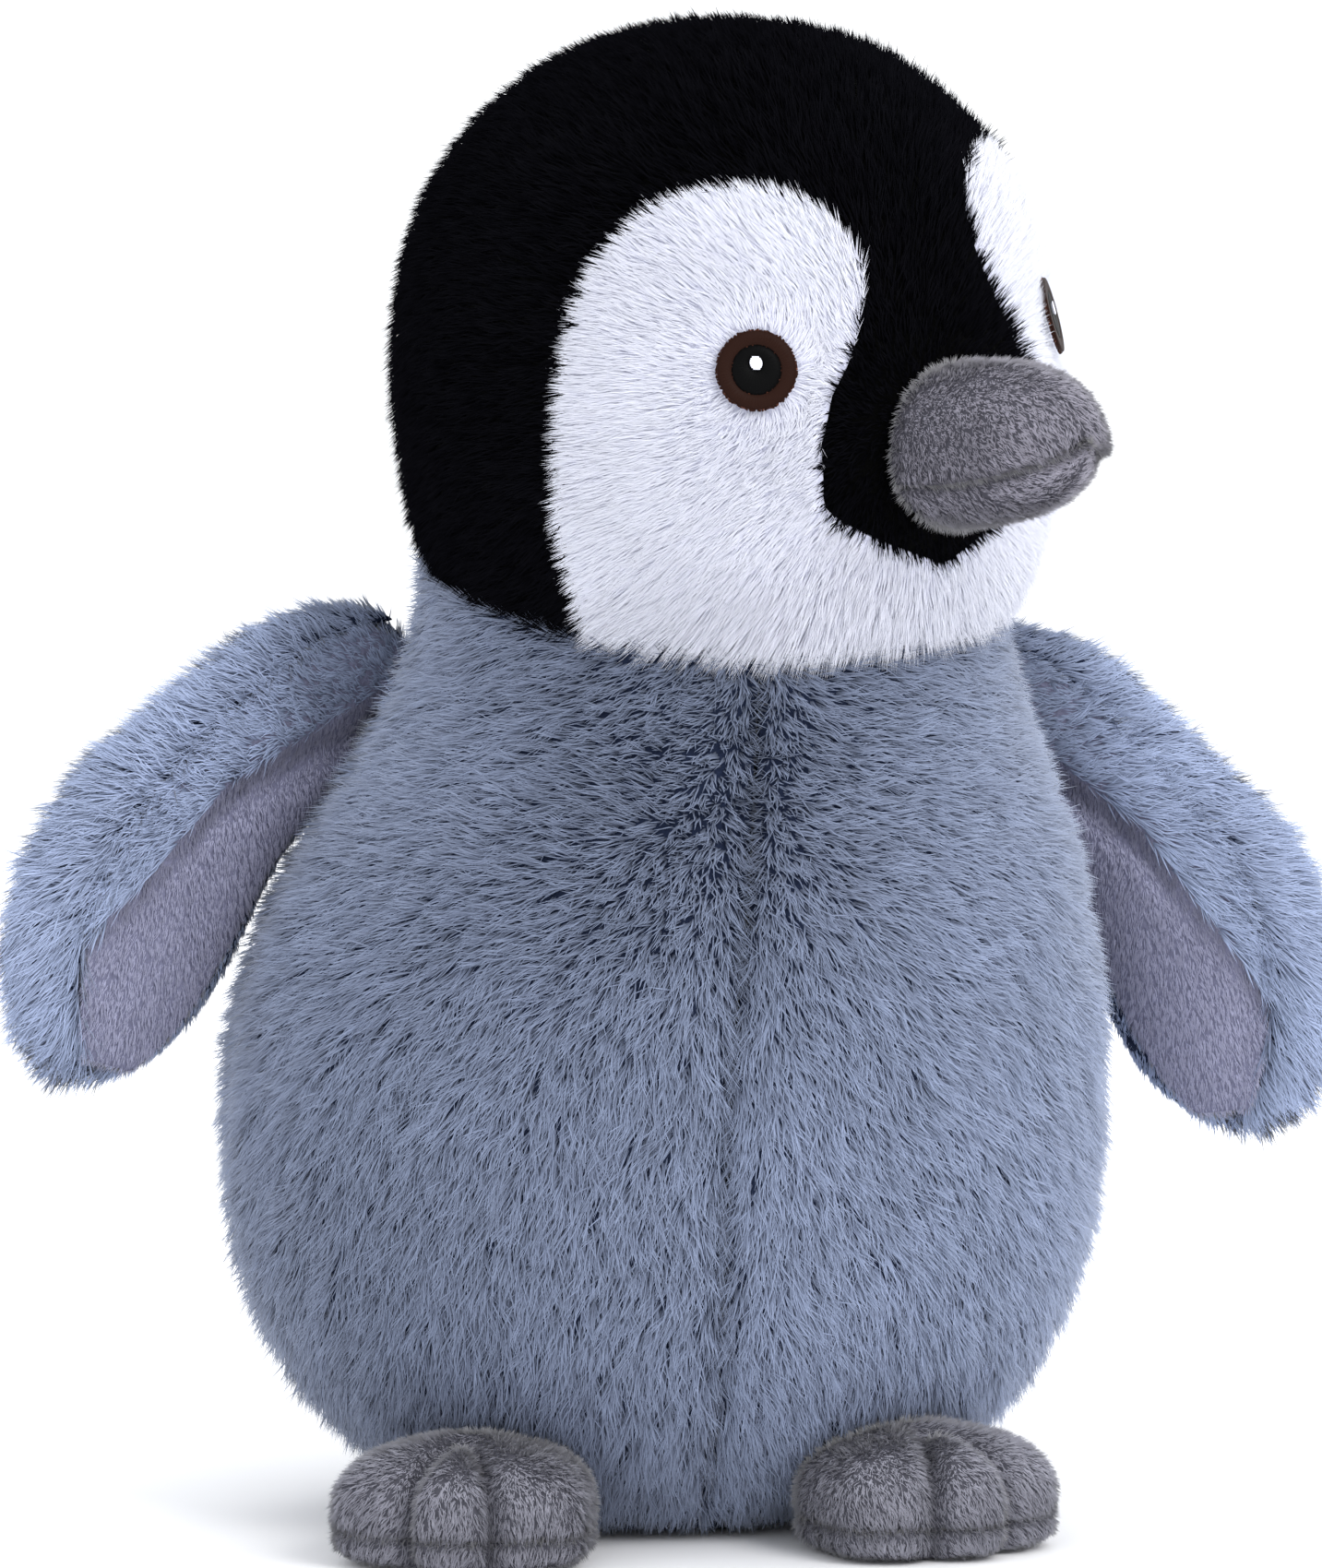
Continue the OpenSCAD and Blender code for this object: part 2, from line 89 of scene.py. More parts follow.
# How far out from a cloth another part's stuffing can lie and still cover it
COVER = 0.0055
# The most strands in one piece, of four triangles each
MOST_STRANDS = 49000
# Stitches in each ring of an eye, and threads in its glint
STITCHES = 120
GLINT_THREADS = 8


# ---- Colours and sizes that a user would change ----


def screen(red, green, blue):
    """A linear colour from one given as on a screen, from 0 to 255."""
    parts = [c / 255 for c in (red, green, blue)]
    return tuple(c / 12.92 if c < 0.04045 else ((c + 0.055) / 1.055) ** 2.4 for c in parts)


def colour(name, description, *default):
    """A colour setting."""
    return FloatVectorProperty(
        name=name, description=description, default=screen(*default), subtype="COLOR", min=0, max=1
    )


def length(name, description, default):
    """A length setting, in metres."""
    return FloatProperty(name=name, description=description, default=default, unit="LENGTH", min=0)


class PenguinColours(bpy.types.PropertyGroup):
    """Colours of the cloths and threads. Each pile's root colour is darker than its tip, as painted shade
    deep in the pile.
    """

    grey_shaded_root: colour("Grey root", "Foot of the blue-grey pile", 38, 46, 68)
    grey_tip: colour("Grey tip", "Ends of the blue-grey pile", 156, 169, 199)
    black_shaded_root: colour("Black root", "Foot of the black pile", 1, 1, 1)
    black_tip: colour("Black tip", "Ends of the black pile", 14, 14, 18)
    white_shaded_root: colour("White root", "Foot of the white pile", 229, 231, 252)
    white_tip: colour("White tip", "Ends of the white pile", 242, 244, 255)
    mauve_shaded_root: colour("Mauve root", "Foot of the velour inside the wings", 124, 125, 150)
    mauve_tip: colour("Mauve tip", "Ends of the velour inside the wings", 168, 169, 196)
    dark_shaded_root: colour("Dark root", "Foot of the velour on the feet", 84, 84, 93)
    dark_tip: colour("Dark tip", "Ends of the velour on the feet", 158, 158, 171)
    beak_shaded_root: colour("Beak root", "Foot of the velour on the beak", 80, 79, 88)
    beak_tip: colour("Beak tip", "Ends of the velour on the beak", 163, 160, 174)
    brown: colour("Iris", "Thread of the iris", 84, 48, 36)
    black: colour("Pupil", "Thread of the pupil", 3, 3, 4)
    white: colour("Glint", "Thread of the glint", 235, 236, 248)


class PenguinPile(bpy.types.PropertyGroup):
    """Lengths of the piles."""

    body: length("Body pile", "Length of the pile on the body", 0.0070)
    wing: length("Wing pile", "Length of the pile on the wings", 0.0086)
    hood: length("Hood pile", "Length of the black pile", 0.0052)
    face: length("Face pile", "Length of the white pile", 0.0050)
    velour: length("Velour pile", "Length of the short pile", 0.0022)


# ---- Repeatable randomness ----


def hashed(cells, seed):
    """A random number from 0 to 1 for each whole-number cell, the same on each run."""
    h = (cells[:, 0] * 73856093) ^ (cells[:, 1] * 19349663) ^ (cells[:, 2] * 83492791) ^ (seed * 97531)
    h = h & 0xFFFFFFFF
    h = ((h ^ (h >> 15)) * 739982445) & 0xFFFFFFFF
    h = ((h ^ (h >> 12)) * 695872825) & 0xFFFFFFFF
    return (h ^ (h >> 15)) / 4294967295.0


def lumps(points, size, seed):
    """Smooth noise from -1 to 1, with lumps of one size."""
    q = points / size
    cell = np.floor(q).astype(np.int64)
    f = q - cell
    f = f * f * (3 - 2 * f)
    total = np.zeros(len(points))
    for corner in np.ndindex(2, 2, 2):
        weight = np.prod(np.where(corner, f, 1 - f), axis=1)
        total += weight * hashed(cell + np.array(corner), seed)
    return total * 2 - 1


def tuft_middles(points, size, seed):
    """For each point, the nearest of the tufts scattered one to a cube of a size."""
    cell = np.floor(points / size).astype(np.int64)
    nearest = np.full(len(points), np.inf)
    middle = np.zeros_like(points)
    for step in np.ndindex(3, 3, 3):
        near = cell + np.array(step) - 1
        spot = (near + np.stack([hashed(near, seed + k) for k in range(3)], axis=1)) * size
        away = ((spot - points) ** 2).sum(axis=1)
        closer = away < nearest
        nearest[closer] = away[closer]
        middle[closer] = spot[closer]
    return middle


def ramp(values, low, high):
    """0 below low, 1 above high, and smooth between."""
    t = np.clip((values - low) / (high - low), 0, 1)
    return t * t * (3 - 2 * t)


def unit(vectors):
    """The same directions, one long."""
    return vectors / np.maximum(np.linalg.norm(vectors, axis=1, keepdims=True), 1e-9)


def bell(values, width):
    """1 at 0, falling smoothly to nothing some widths away on both sides."""
    return np.exp(-((values / width) ** 2))


def columns(x, y, z):
    """Directions or points from their three parts, each a number or one for each point."""
    return np.column_stack(np.broadcast_arrays(x, y, z))


def moved(points, matrix):
    """Points taken through a 4 by 4 matrix."""
    m = np.array(matrix)
    return points @ m[:3, :3].T + m[:3, 3]


def turned(vectors, matrix):
    """Directions taken through a 4 by 4 matrix."""
    return vectors @ np.array(matrix)[:3, :3].T


# ---- Local frames of the parts ----


def about(axis, degrees):
    """A turn about X, Y or Z."""
    return Matrix.Rotation(math.radians(degrees), 4, axis)


def mirror(side):
    """The right side is the left one mirrored."""
    return Matrix.Diagonal((SIDES[side], 1, 1, 1))


def head_frame(side="left"):
    """From the head's own frame, where the face looks along -Y, to the object's."""
    return Matrix.Translation(HEAD_AT) @ about("Z", HEAD_TURN) @ about("Y", -HEAD_TILT) @ mirror(side)


def eye_frame(side):
    """From an eye's own frame, where +Z looks out, to the object's."""
    out = Matrix.Translation((0, 0, EYE_DEPTH))
    return head_frame(side) @ about("Z", EYE_YAW[side]) @ about("X", 90 - EYE_UP) @ out


def wing_frame(side):
    """From a wing's own frame, where +X is out from the body, to the object's."""
    lift = about("Y", -WING_LIFT[side])
    return Matrix.Translation(SHOULDER[side]) @ mirror(side) @ about("Z", -WING_FACE) @ lift


def foot_frame(side):
    """From a foot's own frame, where the toes point along -Y, to the object's."""
    at = Matrix.Translation((-0.0035 + SIDES[side] * 0.0435, -0.055, 0))
    return at @ mirror(side) @ about("Z", FOOT_TURN)


# ---- Making and shaping pieces ----


def pick(piece):
    """Selects just this piece, and makes it active."""
    bpy.ops.object.select_all(action="DESELECT")
    piece.select_set(True)
    bpy.context.view_layer.objects.active = piece


def read_rows(items, field):
    """Three numbers from each of many items, one item a row."""
    flat = np.zeros(len(items) * 3)
    items.foreach_get(field, flat)
    return flat.reshape(-1, 3)


def spots(piece):
    """A piece's points, one a row."""
    return read_rows(piece.data.vertices, "co")


def set_spots(piece, points):
    """Moves a piece's points."""
    piece.data.vertices.foreach_set("co", points.ravel())
    piece.data.update()


def ways_out(piece):
    """A piece's normals, one for each point."""
    return read_rows(piece.data.vertex_normals, "vector")


def copy_of(node, name):
    """A merged copy of one of the part's nodes, on no body."""
    piece = NODES[node].copy()
    piece.data = NODES[node].data.copy()
    piece.name = piece.data.name = name
    piece.parent = None
    for key in list(piece.keys()):
        del piece[key]
    bpy.context.scene.collection.objects.link(piece)
    piece.hide_render = piece.hide_viewport = False
    pick(piece)
    bpy.ops.object.mode_set(mode="EDIT")
    bpy.ops.mesh.select_all(action="SELECT")
    bpy.ops.mesh.remove_doubles(threshold=MERGE)
    bpy.ops.object.mode_set(mode="OBJECT")
    return piece


def rounded(piece, levels):
    """Rounds a piece with an applied Subdivision Surface that keeps its cut edges, and shades it smooth."""
    shape = bmesh.new()
    shape.from_mesh(piece.data)
    crease = shape.edges.layers.float.new("crease_edge")
    for edge in shape.edges:
        if len(edge.link_faces) == 2 and edge.calc_face_angle() > CUT_EDGE:
            edge[crease] = 0.9
    shape.to_mesh(piece.data)
    shape.free()
    pick(piece)
    soft = piece.modifiers.new("Round", "SUBSURF")
    soft.levels = soft.render_levels = levels
    bpy.ops.object.modifier_apply(modifier=soft.name)
    bpy.ops.object.shade_smooth()
    return piece


def finish_with(piece, material):
    """Gives a piece just this finish."""
    piece.data.materials.clear()
    piece.data.materials.append(material)


def padded_copy(node, name, material, levels=1):
    """A rounded copy of a soft node, which stands for it."""
    piece = rounded(copy_of(node, name), levels)
    finish_with(piece, material)
    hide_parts(node)
    return piece


def new_piece(name, points, faces, material, layer, kind, field, values):
    """A smooth piece from points and faces, with one value layer for its material to read."""
    mesh = bpy.data.meshes.new(name)
    mesh.from_pydata(points, [], faces)
    mesh.attributes.new(layer, kind, "POINT").data.foreach_set(field, values)
    mesh.polygons.foreach_set("use_smooth", np.ones(len(faces), bool))
    mesh.materials.append(material)
    piece = bpy.data.objects.new(name, mesh)
    bpy.context.scene.collection.objects.link(piece)
    return piece


def shift(piece, by):
    """Moves each point of a piece by what a function gives for the points and normals."""
    points = spots(piece)
    set_spots(piece, points + by(points, ways_out(piece)))


# ---- Pile ----


# How a pile stands: its strands' length and width in metres, their number on a square millimetre,
# the size of its tufts, how far they draw together, and how far a strand strays in degrees
Nap = namedtuple("Nap", "long wide per_mm2 tuft pull stray")


def triangles(piece):
    """The points of each of a piece's triangles."""
    piece.data.calc_loop_triangles()
    index = np.zeros(len(piece.data.loop_triangles) * 3, np.int32)
    piece.data.loop_triangles.foreach_get("vertices", index)
    return index.reshape(-1, 3)


def crossed(corners):
    """The cross product of two sides of each triangle."""
    return np.cross(corners[:, 1] - corners[:, 0], corners[:, 2] - corners[:, 0])


def outside_of(cloth, filling, away):
    """The triangles on the outside of a cloth piece as cut, which no stuffing lies over."""
    index = triangles(cloth)
    corners = spots(cloth)[index]
    middle = corners.mean(axis=1)
    facing = unit(crossed(corners))
    keep = np.ones(len(corners), bool)
    if away is not None:
        keep &= (facing * unit(away(middle))).sum(axis=1) > 0.3
    stuffing = NODES[filling]
    tree = BVHTree.FromPolygons(spots(stuffing).tolist(), [p.vertices[:] for p in stuffing.data.polygons])
    for i in np.flatnonzero(keep):
        start = Vector(middle[i] - facing[i] * 0.001)
        keep[i] = tree.ray_cast(start, Vector(facing[i]), COVER)[0] is None
    return index[keep]


def grow_pile(name, cloth, outside, nap, comb, material, seed):
    """A piece of separate pointed strands, rooted on the given triangles of a cloth piece.
    comb gives, for points and normals, the strands' directions, lifts in degrees, lengths and tones, which
    carry random tone and painted light and shade."""
    rng = np.random.default_rng(seed)
    corners, normals = spots(cloth)[outside], ways_out(cloth)[outside]
    area = np.linalg.norm(crossed(corners), axis=1) / 2
    count = min(int(area.sum() * 1e6 * nap.per_mm2), MOST_STRANDS)
    chosen = rng.choice(len(area), size=count, p=area / area.sum())
    share = rng.random((count, 2))
    share[share.sum(axis=1) > 1] = 1 - share[share.sum(axis=1) > 1]
    share = np.column_stack([1 - share.sum(axis=1), share])
    root = (corners[chosen] * share[:, :, None]).sum(axis=1)
    out = unit((normals[chosen] * share[:, :, None]).sum(axis=1))

    along, lift, long, tone = comb(root, out)
    keep = long > 0
    root, out, along, lift, long, tone = (v[keep] for v in (root, out, along, lift, long, tone))
    count = len(root)
    along = unit(along - out * (along * out).sum(axis=1, keepdims=True))
    middle = tuft_middles(root, nap.tuft, seed + 3)
    tufts = np.floor(middle / nap.tuft * 7).astype(np.int64)
    turn, stand = (hashed(tufts, seed + k) * 2 - 1 for k in (5, 6))
    stray = 1.1 * lumps(root, 0.016, seed + 1) + 0.8 * rng.standard_normal(count) + 1.3 * turn
    swirl = np.radians(nap.stray * stray)
    along = along * np.cos(swirl)[:, None] + np.cross(out, along) * np.sin(swirl)[:, None]
    rise = lift + nap.stray * (0.4 * rng.standard_normal(count) + 0.8 * stand)
    rise = np.radians(np.clip(rise, 4, 85))[:, None]
    lean = along * np.cos(rise) + out * np.sin(rise)
    long = long * (0.72 + 0.4 * rng.random(count) + 0.10 * lumps(root, 0.02, seed + 2))
    tip = root + lean * long[:, None]
    tip += (middle + lean * long[:, None] - tip) * (nap.pull * (0.4 + 0.6 * rng.random(count)))[:, None]
    tip[:, 2] = np.maximum(tip[:, 2], 0.0004)
    lean = unit(tip - root)

    wide = nap.wide * (0.7 + 0.6 * rng.random(count))[:, None]
    side = unit(np.cross(lean, out))
    ridge = unit(np.cross(side, lean))
    foot = root - out * 0.0003
    points = np.stack([foot + side * wide, foot - side * wide, foot + ridge * wide * 0.9, tip], axis=1)
    shading = np.stack([
        unit(out * 0.75 + side * 0.6), unit(out * 0.75 - side * 0.6), unit(out), unit(out + lean * 0.25)
    ], axis=1)
    first = np.arange(count)[:, None] * 4
    shape = np.array([[0, 2, 1], [0, 3, 2], [2, 3, 1], [1, 3, 0]])
    faces = (first[:, :, None] + shape[None]).reshape(-1, 3)

    shade = 0.55 * rng.random(count) + 0.45 * hashed(tufts, seed + 4)
    strand = np.zeros((count, 4, 4), np.float32)
    strand[:, 3, 0] = 1
    strand[:, :, 1] = shade[:, None]
    # Blue: the strand's tone, random tone and painted light and shade from the comb.
    strand[:, :, 2] = tone[:, None]
    strand[:, :, 3] = 1

    points = points.reshape(-1, 3)
    piece = new_piece(name, points, faces, material, "strand", "FLOAT_COLOR", "color", strand.ravel())
    piece.data.normals_split_custom_set_from_vertices(shading.reshape(-1, 3))
    return piece


def plush_panel(node, finish, levels, filling, away, shape, nap, comb, seed):
    """A soft node's cloth, shaped, then the pile on its outside, then the triangles of that outside."""
    cloth = padded_copy(node, node + "_cloth", finish[0], levels)
    outside = outside_of(cloth, filling, away)
    shift(cloth, shape)
    return cloth, grow_pile(node + "_pile", cloth, outside, nap, comb, finish[1], seed), outside


# ---- Materials ----


def feed(tree, socket, value):
    """Gives a socket a fixed value, or a link from another socket."""
    if isinstance(value, bpy.types.NodeSocket):
        tree.links.new(value, socket)
    else:
        socket.default_value = value


def add_node(tree, kind, **inputs):
    """A new shader node, with what goes into its inputs."""
    node = tree.nodes.new("ShaderNode" + kind)
    for name, value in inputs.items():
        feed(tree, node.inputs[name], value)
    return node


def math_node(tree, operation, first, second):
    """A Math node of two values, which may be numbers or sockets."""
    node = add_node(tree, "Math")
    node.operation = operation
    feed(tree, node.inputs[0], first)
    feed(tree, node.inputs[1], second)
    return node.outputs[0]


def mixed_colour(tree, share, first, second):
    """A mix of two colours."""
    node = add_node(tree, "Mix")
    node.data_type = "RGBA"
    feed(tree, node.inputs["Factor"], share)
    feed(tree, node.inputs[6], first)
    feed(tree, node.inputs[7], second)
    return node.outputs[2]


def scaled_colour(tree, tone, by):
    """A colour made brighter or darker."""
    node = add_node(tree, "VectorMath")
    node.operation = "SCALE"
    feed(tree, node.inputs[0], tone)
    feed(tree, node.inputs["Scale"], by)
    return node.outputs[0]


def object_place(tree):
    """The Object coordinates."""
    return add_node(tree, "TexCoord").outputs["Object"]


def read_layer(tree, name):
    """A node that reads a piece's own value layer."""
    node = add_node(tree, "Attribute")
    node.attribute_name = name
    return node


def relief(tree, shader, height, strength, distance):
    """Gives a shader relief from a height."""
    bump = add_node(tree, "Bump", Strength=strength, Distance=distance, Height=height)
    tree.links.new(bump.outputs["Normal"], shader.inputs["Normal"])


def new_group(name, inputs, outputs):
    """A node group with these sockets, where a colour has no number of its own, and its two end nodes."""
    tree = bpy.data.node_groups.new(name, "ShaderNodeTree")
    for way, sockets in (("INPUT", inputs), ("OUTPUT", outputs)):
        for socket, number in sockets.items():
            kind = "NodeSocketColor" if number is None else "NodeSocketFloat"
            made = tree.interface.new_socket(socket, in_out=way, socket_type=kind)
            if number is not None:
                made.default_value = number
    return tree, tree.nodes.new("NodeGroupInput").outputs, tree.nodes.new("NodeGroupOutput").inputs


def pile_group():
    """Node group: a strand's colour from root to tip, the root darker as painted shade deep in the pile,
    with a shade of its own and of its tuft, times the strand's tone, which carries random tone and painted
    light and shade.
    """
    if "Pile colour" in bpy.data.node_groups:
        return bpy.data.node_groups["Pile colour"]
    sockets = {"Root": None, "Tip": None, "Spread": 0.4}
    tree, given, result = new_group("Pile colour", sockets, {"Colour": None})
    parts = add_node(tree, "SeparateColor", Color=read_layer(tree, "strand").outputs["Color"]).outputs
    cloud = add_node(tree, "TexNoise", Scale=38, Detail=3, Vector=object_place(tree)).outputs[0]
    # Darker towards the root: painted shade deep in the pile.
    climb = math_node(tree, "POWER", parts["Red"], 0.6)
    colours = mixed_colour(tree, climb, given["Root"], given["Tip"])
    own = math_node(tree, "MULTIPLY", math_node(tree, "SUBTRACT", parts["Green"], 0.5), given["Spread"])
    patchy = math_node(tree, "MULTIPLY", math_node(tree, "SUBTRACT", cloud, 0.5), 0.22)
    bright = math_node(tree, "ADD", math_node(tree, "ADD", own, patchy), 1.0)
    toned = math_node(tree, "MULTIPLY", bright, parts["Blue"])
    tree.links.new(scaled_colour(tree, colours, toned), result["Colour"])
    return tree


def cloth_group():
    """Node group: the knitted backing under a pile, as a colour and a height for bump."""
    if "Knit backing" in bpy.data.node_groups:
        return bpy.data.node_groups["Knit backing"]
    sockets = {"Dark": None, "Light": None, "Fineness": 900}
    tree, given, result = new_group("Knit backing", sockets, {"Colour": None, "Height": 0.0})
    grain, loops = (
        add_node(tree, kind, Vector=object_place(tree), Scale=given["Fineness"])
        for kind in ("TexNoise", "TexVoronoi")
    )
    grain.inputs["Detail"].default_value = 4
    tree.links.new(mixed_colour(tree, grain.outputs[0], given["Dark"], given["Light"]), result["Colour"])
    height = math_node(tree, "ADD", grain.outputs[0], loops.outputs["Distance"])
    tree.links.new(height, result["Height"])
    return tree


def new_material(name, roughness, sheen, specular):
    """A material with a Principled BSDF, and its tree and shader."""
    material = bpy.data.materials.new(name)
    material.use_nodes = True
    shader = material.node_tree.nodes["Principled BSDF"]
    shader.inputs["Roughness"].default_value = roughness
    shader.inputs["Sheen Weight"].default_value = sheen
    shader.inputs["Sheen Roughness"].default_value = 0.5
    shader.inputs["Specular IOR Level"].default_value = specular
    return material, material.node_tree, shader


def use_group(tree, shader, group, **values):
    """Colours a shader with a node group, and gives the group's node."""
    node = add_node(tree, "Group")
    node.node_tree = group
    for name, value in values.items():
        feed(tree, node.inputs[name], value)
    tree.links.new(node.outputs["Colour"], shader.inputs["Base Color"])
    return node


def pile_material(name, root, tip, spread, sheen=0.3, specular=0.3):
    """The finish of a pile's strands."""
    material, tree, shader = new_material(name, 0.72, sheen, specular)
    use_group(tree, shader, pile_group(), Root=(*root, 1), Tip=(*tip, 1), Spread=spread)
    return material


def backing_material(name, dark, light, fineness=900, bump=0.5):
    """The finish of the cloth that a pile grows from."""
    material, tree, shader = new_material(name, 0.9, 0.0, 0.05)
    knit = use_group(tree, shader, cloth_group(), Dark=(*dark, 1), Light=(*light, 1), Fineness=fineness)
    relief(tree, shader, knit.outputs["Height"], bump, 0.0006)
    return material


def cloth_pair(name, root, tip, spread, **finish):
    """The backing and the pile of one plush or velour, the backing darker than the pile's roots as painted
    shade between the strands.
    """
    # Painted shade: the backing between the strands is darker still than the roots.
    dark = tuple(0.75 * c for c in root)
    backing = backing_material(name + "_backing", dark, root)
    return backing, pile_material(name + "_pile", root, tip, spread, **finish)


# ---- Torso ----


def body_axis(z):
    """X of the body's middle at a height."""
    t = np.clip((z - 0.080) / 0.101, 0, 1)
    return 0.0095 * t * t * (3 - 2 * t)


def from_axis(points):
    """Directions out from the body's upright axis."""
    return columns(points[:, 0] - body_axis(points[:, 2]), points[:, 1], 0)


def body_away(points):
    """Directions out of the body, downwards as well near the base."""
    away = unit(from_axis(points))
    away[:, 2] = -1.2 * ramp(-points[:, 2], -0.03, -0.004)
    return away


def body_shape(points, normals):
    """Seams pulled in and soft unevenness in between, fading out at the neck."""
    z = points[:, 2]
    out = unit(from_axis(points))
    angle = np.arctan2(out[:, 0], -out[:, 1])
    radius = np.hypot(points[:, 0] - body_axis(z), points[:, 1])
    front = bell(radius * angle, 0.0050) * (0.0022 + 0.0010 * lumps(points, 0.03, 5))
    rest = 0
    for seam in (90, 180, 270):
        gap = radius * np.angle(np.exp(1j * (angle - math.radians(seam))))
        rest = rest + bell(gap, 0.006) * 0.0018
    uneven = 0.0014 * lumps(points, 0.042, 11) + 0.0006 * lumps(points, 0.019, 12)
    fade = ramp(-z, -0.182, -0.150) * ramp(z, 0.002, 0.018)
    return out * ((uneven - front - rest) * fade)[:, None]


def body_comb(long):
    """The body's pile runs out from the front seam and down, and stands up on the chest. Its tone is darker
    on the chest, along the front seam and at the top of the front as painted shade, and lighter on the +X
    side and darker on the -X side low down as painted light and shade.
    """

    def comb(points, normals):
        z = points[:, 2]
        out = unit(from_axis(points))
        angle = np.arctan2(out[:, 0], -out[:, 1])
        sideways = columns(-out[:, 1], out[:, 0], 0)
        high = ramp(z, 0.03, 0.165)
        parting = np.tanh(angle / math.radians(14)) * (1 - ramp(np.abs(angle), 1.9, 2.9))
        spread = (0.16 + 0.38 * high) * parting
        fall = 1.0 - 0.66 * high * (1 - ramp(np.abs(angle), 1.6, 2.6))
        along = sideways * spread[:, None]
        along[:, 2] -= fall
        # The chest mask also darkens the tone: painted shade, for the roots seen where the pile stands up.
        chest = bell(angle + 0.18, 0.76) * ramp(z, 0.075, 0.15)
        # The seam mask also darkens the tone: painted shade in the parting along the front seam.
        seam = bell(angle, 0.022)
        lift = 24 + 26 * chest + 12 * seam + 7 * lumps(points, 0.014, 31)
        # Painted light and shade: lighter on the +X side and darker on the -X side, fading out up the
        # chest.
        tone = 0.99 - 0.26 * chest - 0.34 * seam + 0.24 * np.sin(angle) * (1 - high)
        # Painted shade under the head: the front darker at the top of the body.
        tone = tone - 0.12 * ramp(z, 0.15, 0.18) * (np.abs(angle) < 1.6)
        size = long * (1 - 0.22 * chest) * (1 - 0.35 * ramp(z, 0.165, 0.185))
        size = size * (0.45 + 0.55 * ramp(z, 0.001, 0.010))
        return along, lift, size, tone

    return comb


class PENGUIN_OT_torso(bpy.types.Operator):
    """Make the body's four plush panels with their pile, and the round base"""

    bl_idname = "penguin.torso"
    bl_label = "Torso"

    def execute(self, context):
        tones, pile = context.scene.penguin_colours, context.scene.penguin_pile
        plush = cloth_pair("grey_plush", tones.grey_shaded_root, tones.grey_tip, 0.55)
        comb = body_comb(pile.body)
        for seed, panel in enumerate(("belly_left", "belly_right", "back_left", "back_right"), 100):
            nap = Nap(pile.body, 0.00023, 2.5 if panel.startswith("belly") else 1.7, 0.0023, 0.5, 19)
            made = plush_panel(panel, plush, 2, "torso_stuffing", body_away, body_shape, nap, comb, seed)
            for piece in made[:2]:
                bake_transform(piece)
        base = padded_copy("base_panel", "base_cloth", plush[0], 2)
        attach(base, "torso")
        return {"FINISHED"}


# ---- Head ----


def head_away(points):
    """Directions out from the head's middle."""
    return points - np.array(HEAD_AT)


def head_shape(points, normals):
    """Soft unevenness of the head, a dent round each eye, and the seam over the crown drawn shut."""
    out = unit(head_away(points))
    change = 0.0011 * lumps(points, 0.036, 41) + 0.0004 * lumps(points, 0.015, 42)
    for side in SIDES:
        eye = np.array(eye_frame(side).translation)
        near = np.linalg.norm(points - eye, axis=1)
        change = change - 0.0016 * bell(near, 0.0115)
    fade = ramp(points[:, 2], 0.170, 0.196)
    across = moved(points, head_frame().inverted())[:, 0]
    shut = np.zeros_like(points)
    shut[:, 0] = np.where(np.abs(across) < 0.0012, -0.95 * across, 0)
    return out * (change * fade)[:, None] + turned(shut, head_frame())


def head_comb(side, long):
    """The head's pile runs back from the beak, round the eyes, and down at the nape."""
    there, back = head_frame(side), head_frame(side).inverted()
    eye = np.array(eye_frame(side).translation)

    def comb(points, normals):
        local = moved(points, back)
        away = unit(local - np.array(BEAK_ROOT))
        away[:, 2] -= 1.5 * ramp(local[:, 1], 0.0, 0.05)
        away[:, 2] -= 0.25
        along = turned(away, there)
        from_eye = points - eye
        near = np.linalg.norm(from_eye, axis=1)
        round_eye = bell(near, 0.014)[:, None]
        along = along * (1 - round_eye) + unit(from_eye) * round_eye
        size = long * (1 - 0.35 * round_eye[:, 0]) * (1 + 0.7 * ramp(-local[:, 2], 0.026, 0.042))
        size = size * (near > EYE_BARE)
        from_beak = np.hypot(local[:, 0], local[:, 2] - BEAK_ROOT.z) + np.maximum(0, local[:, 1] + 0.045)
        size = size * (0.5 + 0.5 * ramp(from_beak, 0.016, 0.026)) * (from_beak > 0.0150)
        tone = 1 + 0.04 * lumps(points, 0.02, 51)
        return along, 34 + 8 * lumps(points, 0.018, 52), size, tone

    return comb


class PENGUIN_OT_head(bpy.types.Operator):
    """Make the black hood and the white face patches with their pile"""

    bl_idname = "penguin.head"
    bl_label = "Head"

    def execute(self, context):
        tones, pile = context.scene.penguin_colours, context.scene.penguin_pile
        black = cloth_pair("black_plush", tones.black_shaded_root, tones.black_tip, 0.9, sheen=0.0, specular=0.0)
        white = cloth_pair("white_plush", tones.white_shaded_root, tones.white_tip, 0.06, sheen=0.2)
        for seed, side in enumerate(SIDES, 200):
            for kind, finish, levels, nap in (
                ("hood", black, 1, Nap(pile.hood, 0.00022, 2.4, 0.0021, 0.4, 14)),
                ("face_patch", white, 2, Nap(pile.face, 0.00017, 5.4, 0.0021, 0.4, 9)),
            ):
                how = ("head_stuffing", head_away, head_shape, nap, head_comb(side, nap.long))
                made = plush_panel(f"{kind}_{side}", finish, levels, *how, seed + 10 * len(kind))
                for piece in made[:2]:
                    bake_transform(piece)
        return {"FINISHED"}


def above_mouth(local):
    """How far along the beak points are, and their height over the seam of the mouth."""
    share = np.clip((BEAK_ROOT.y - local[:, 1]) / BEAK_LONG, 0, 1)
    line = 0.0025 * share - 0.0049 * np.sqrt(1 - share**3)
    return share, local[:, 2] - BEAK_ROOT.z - line


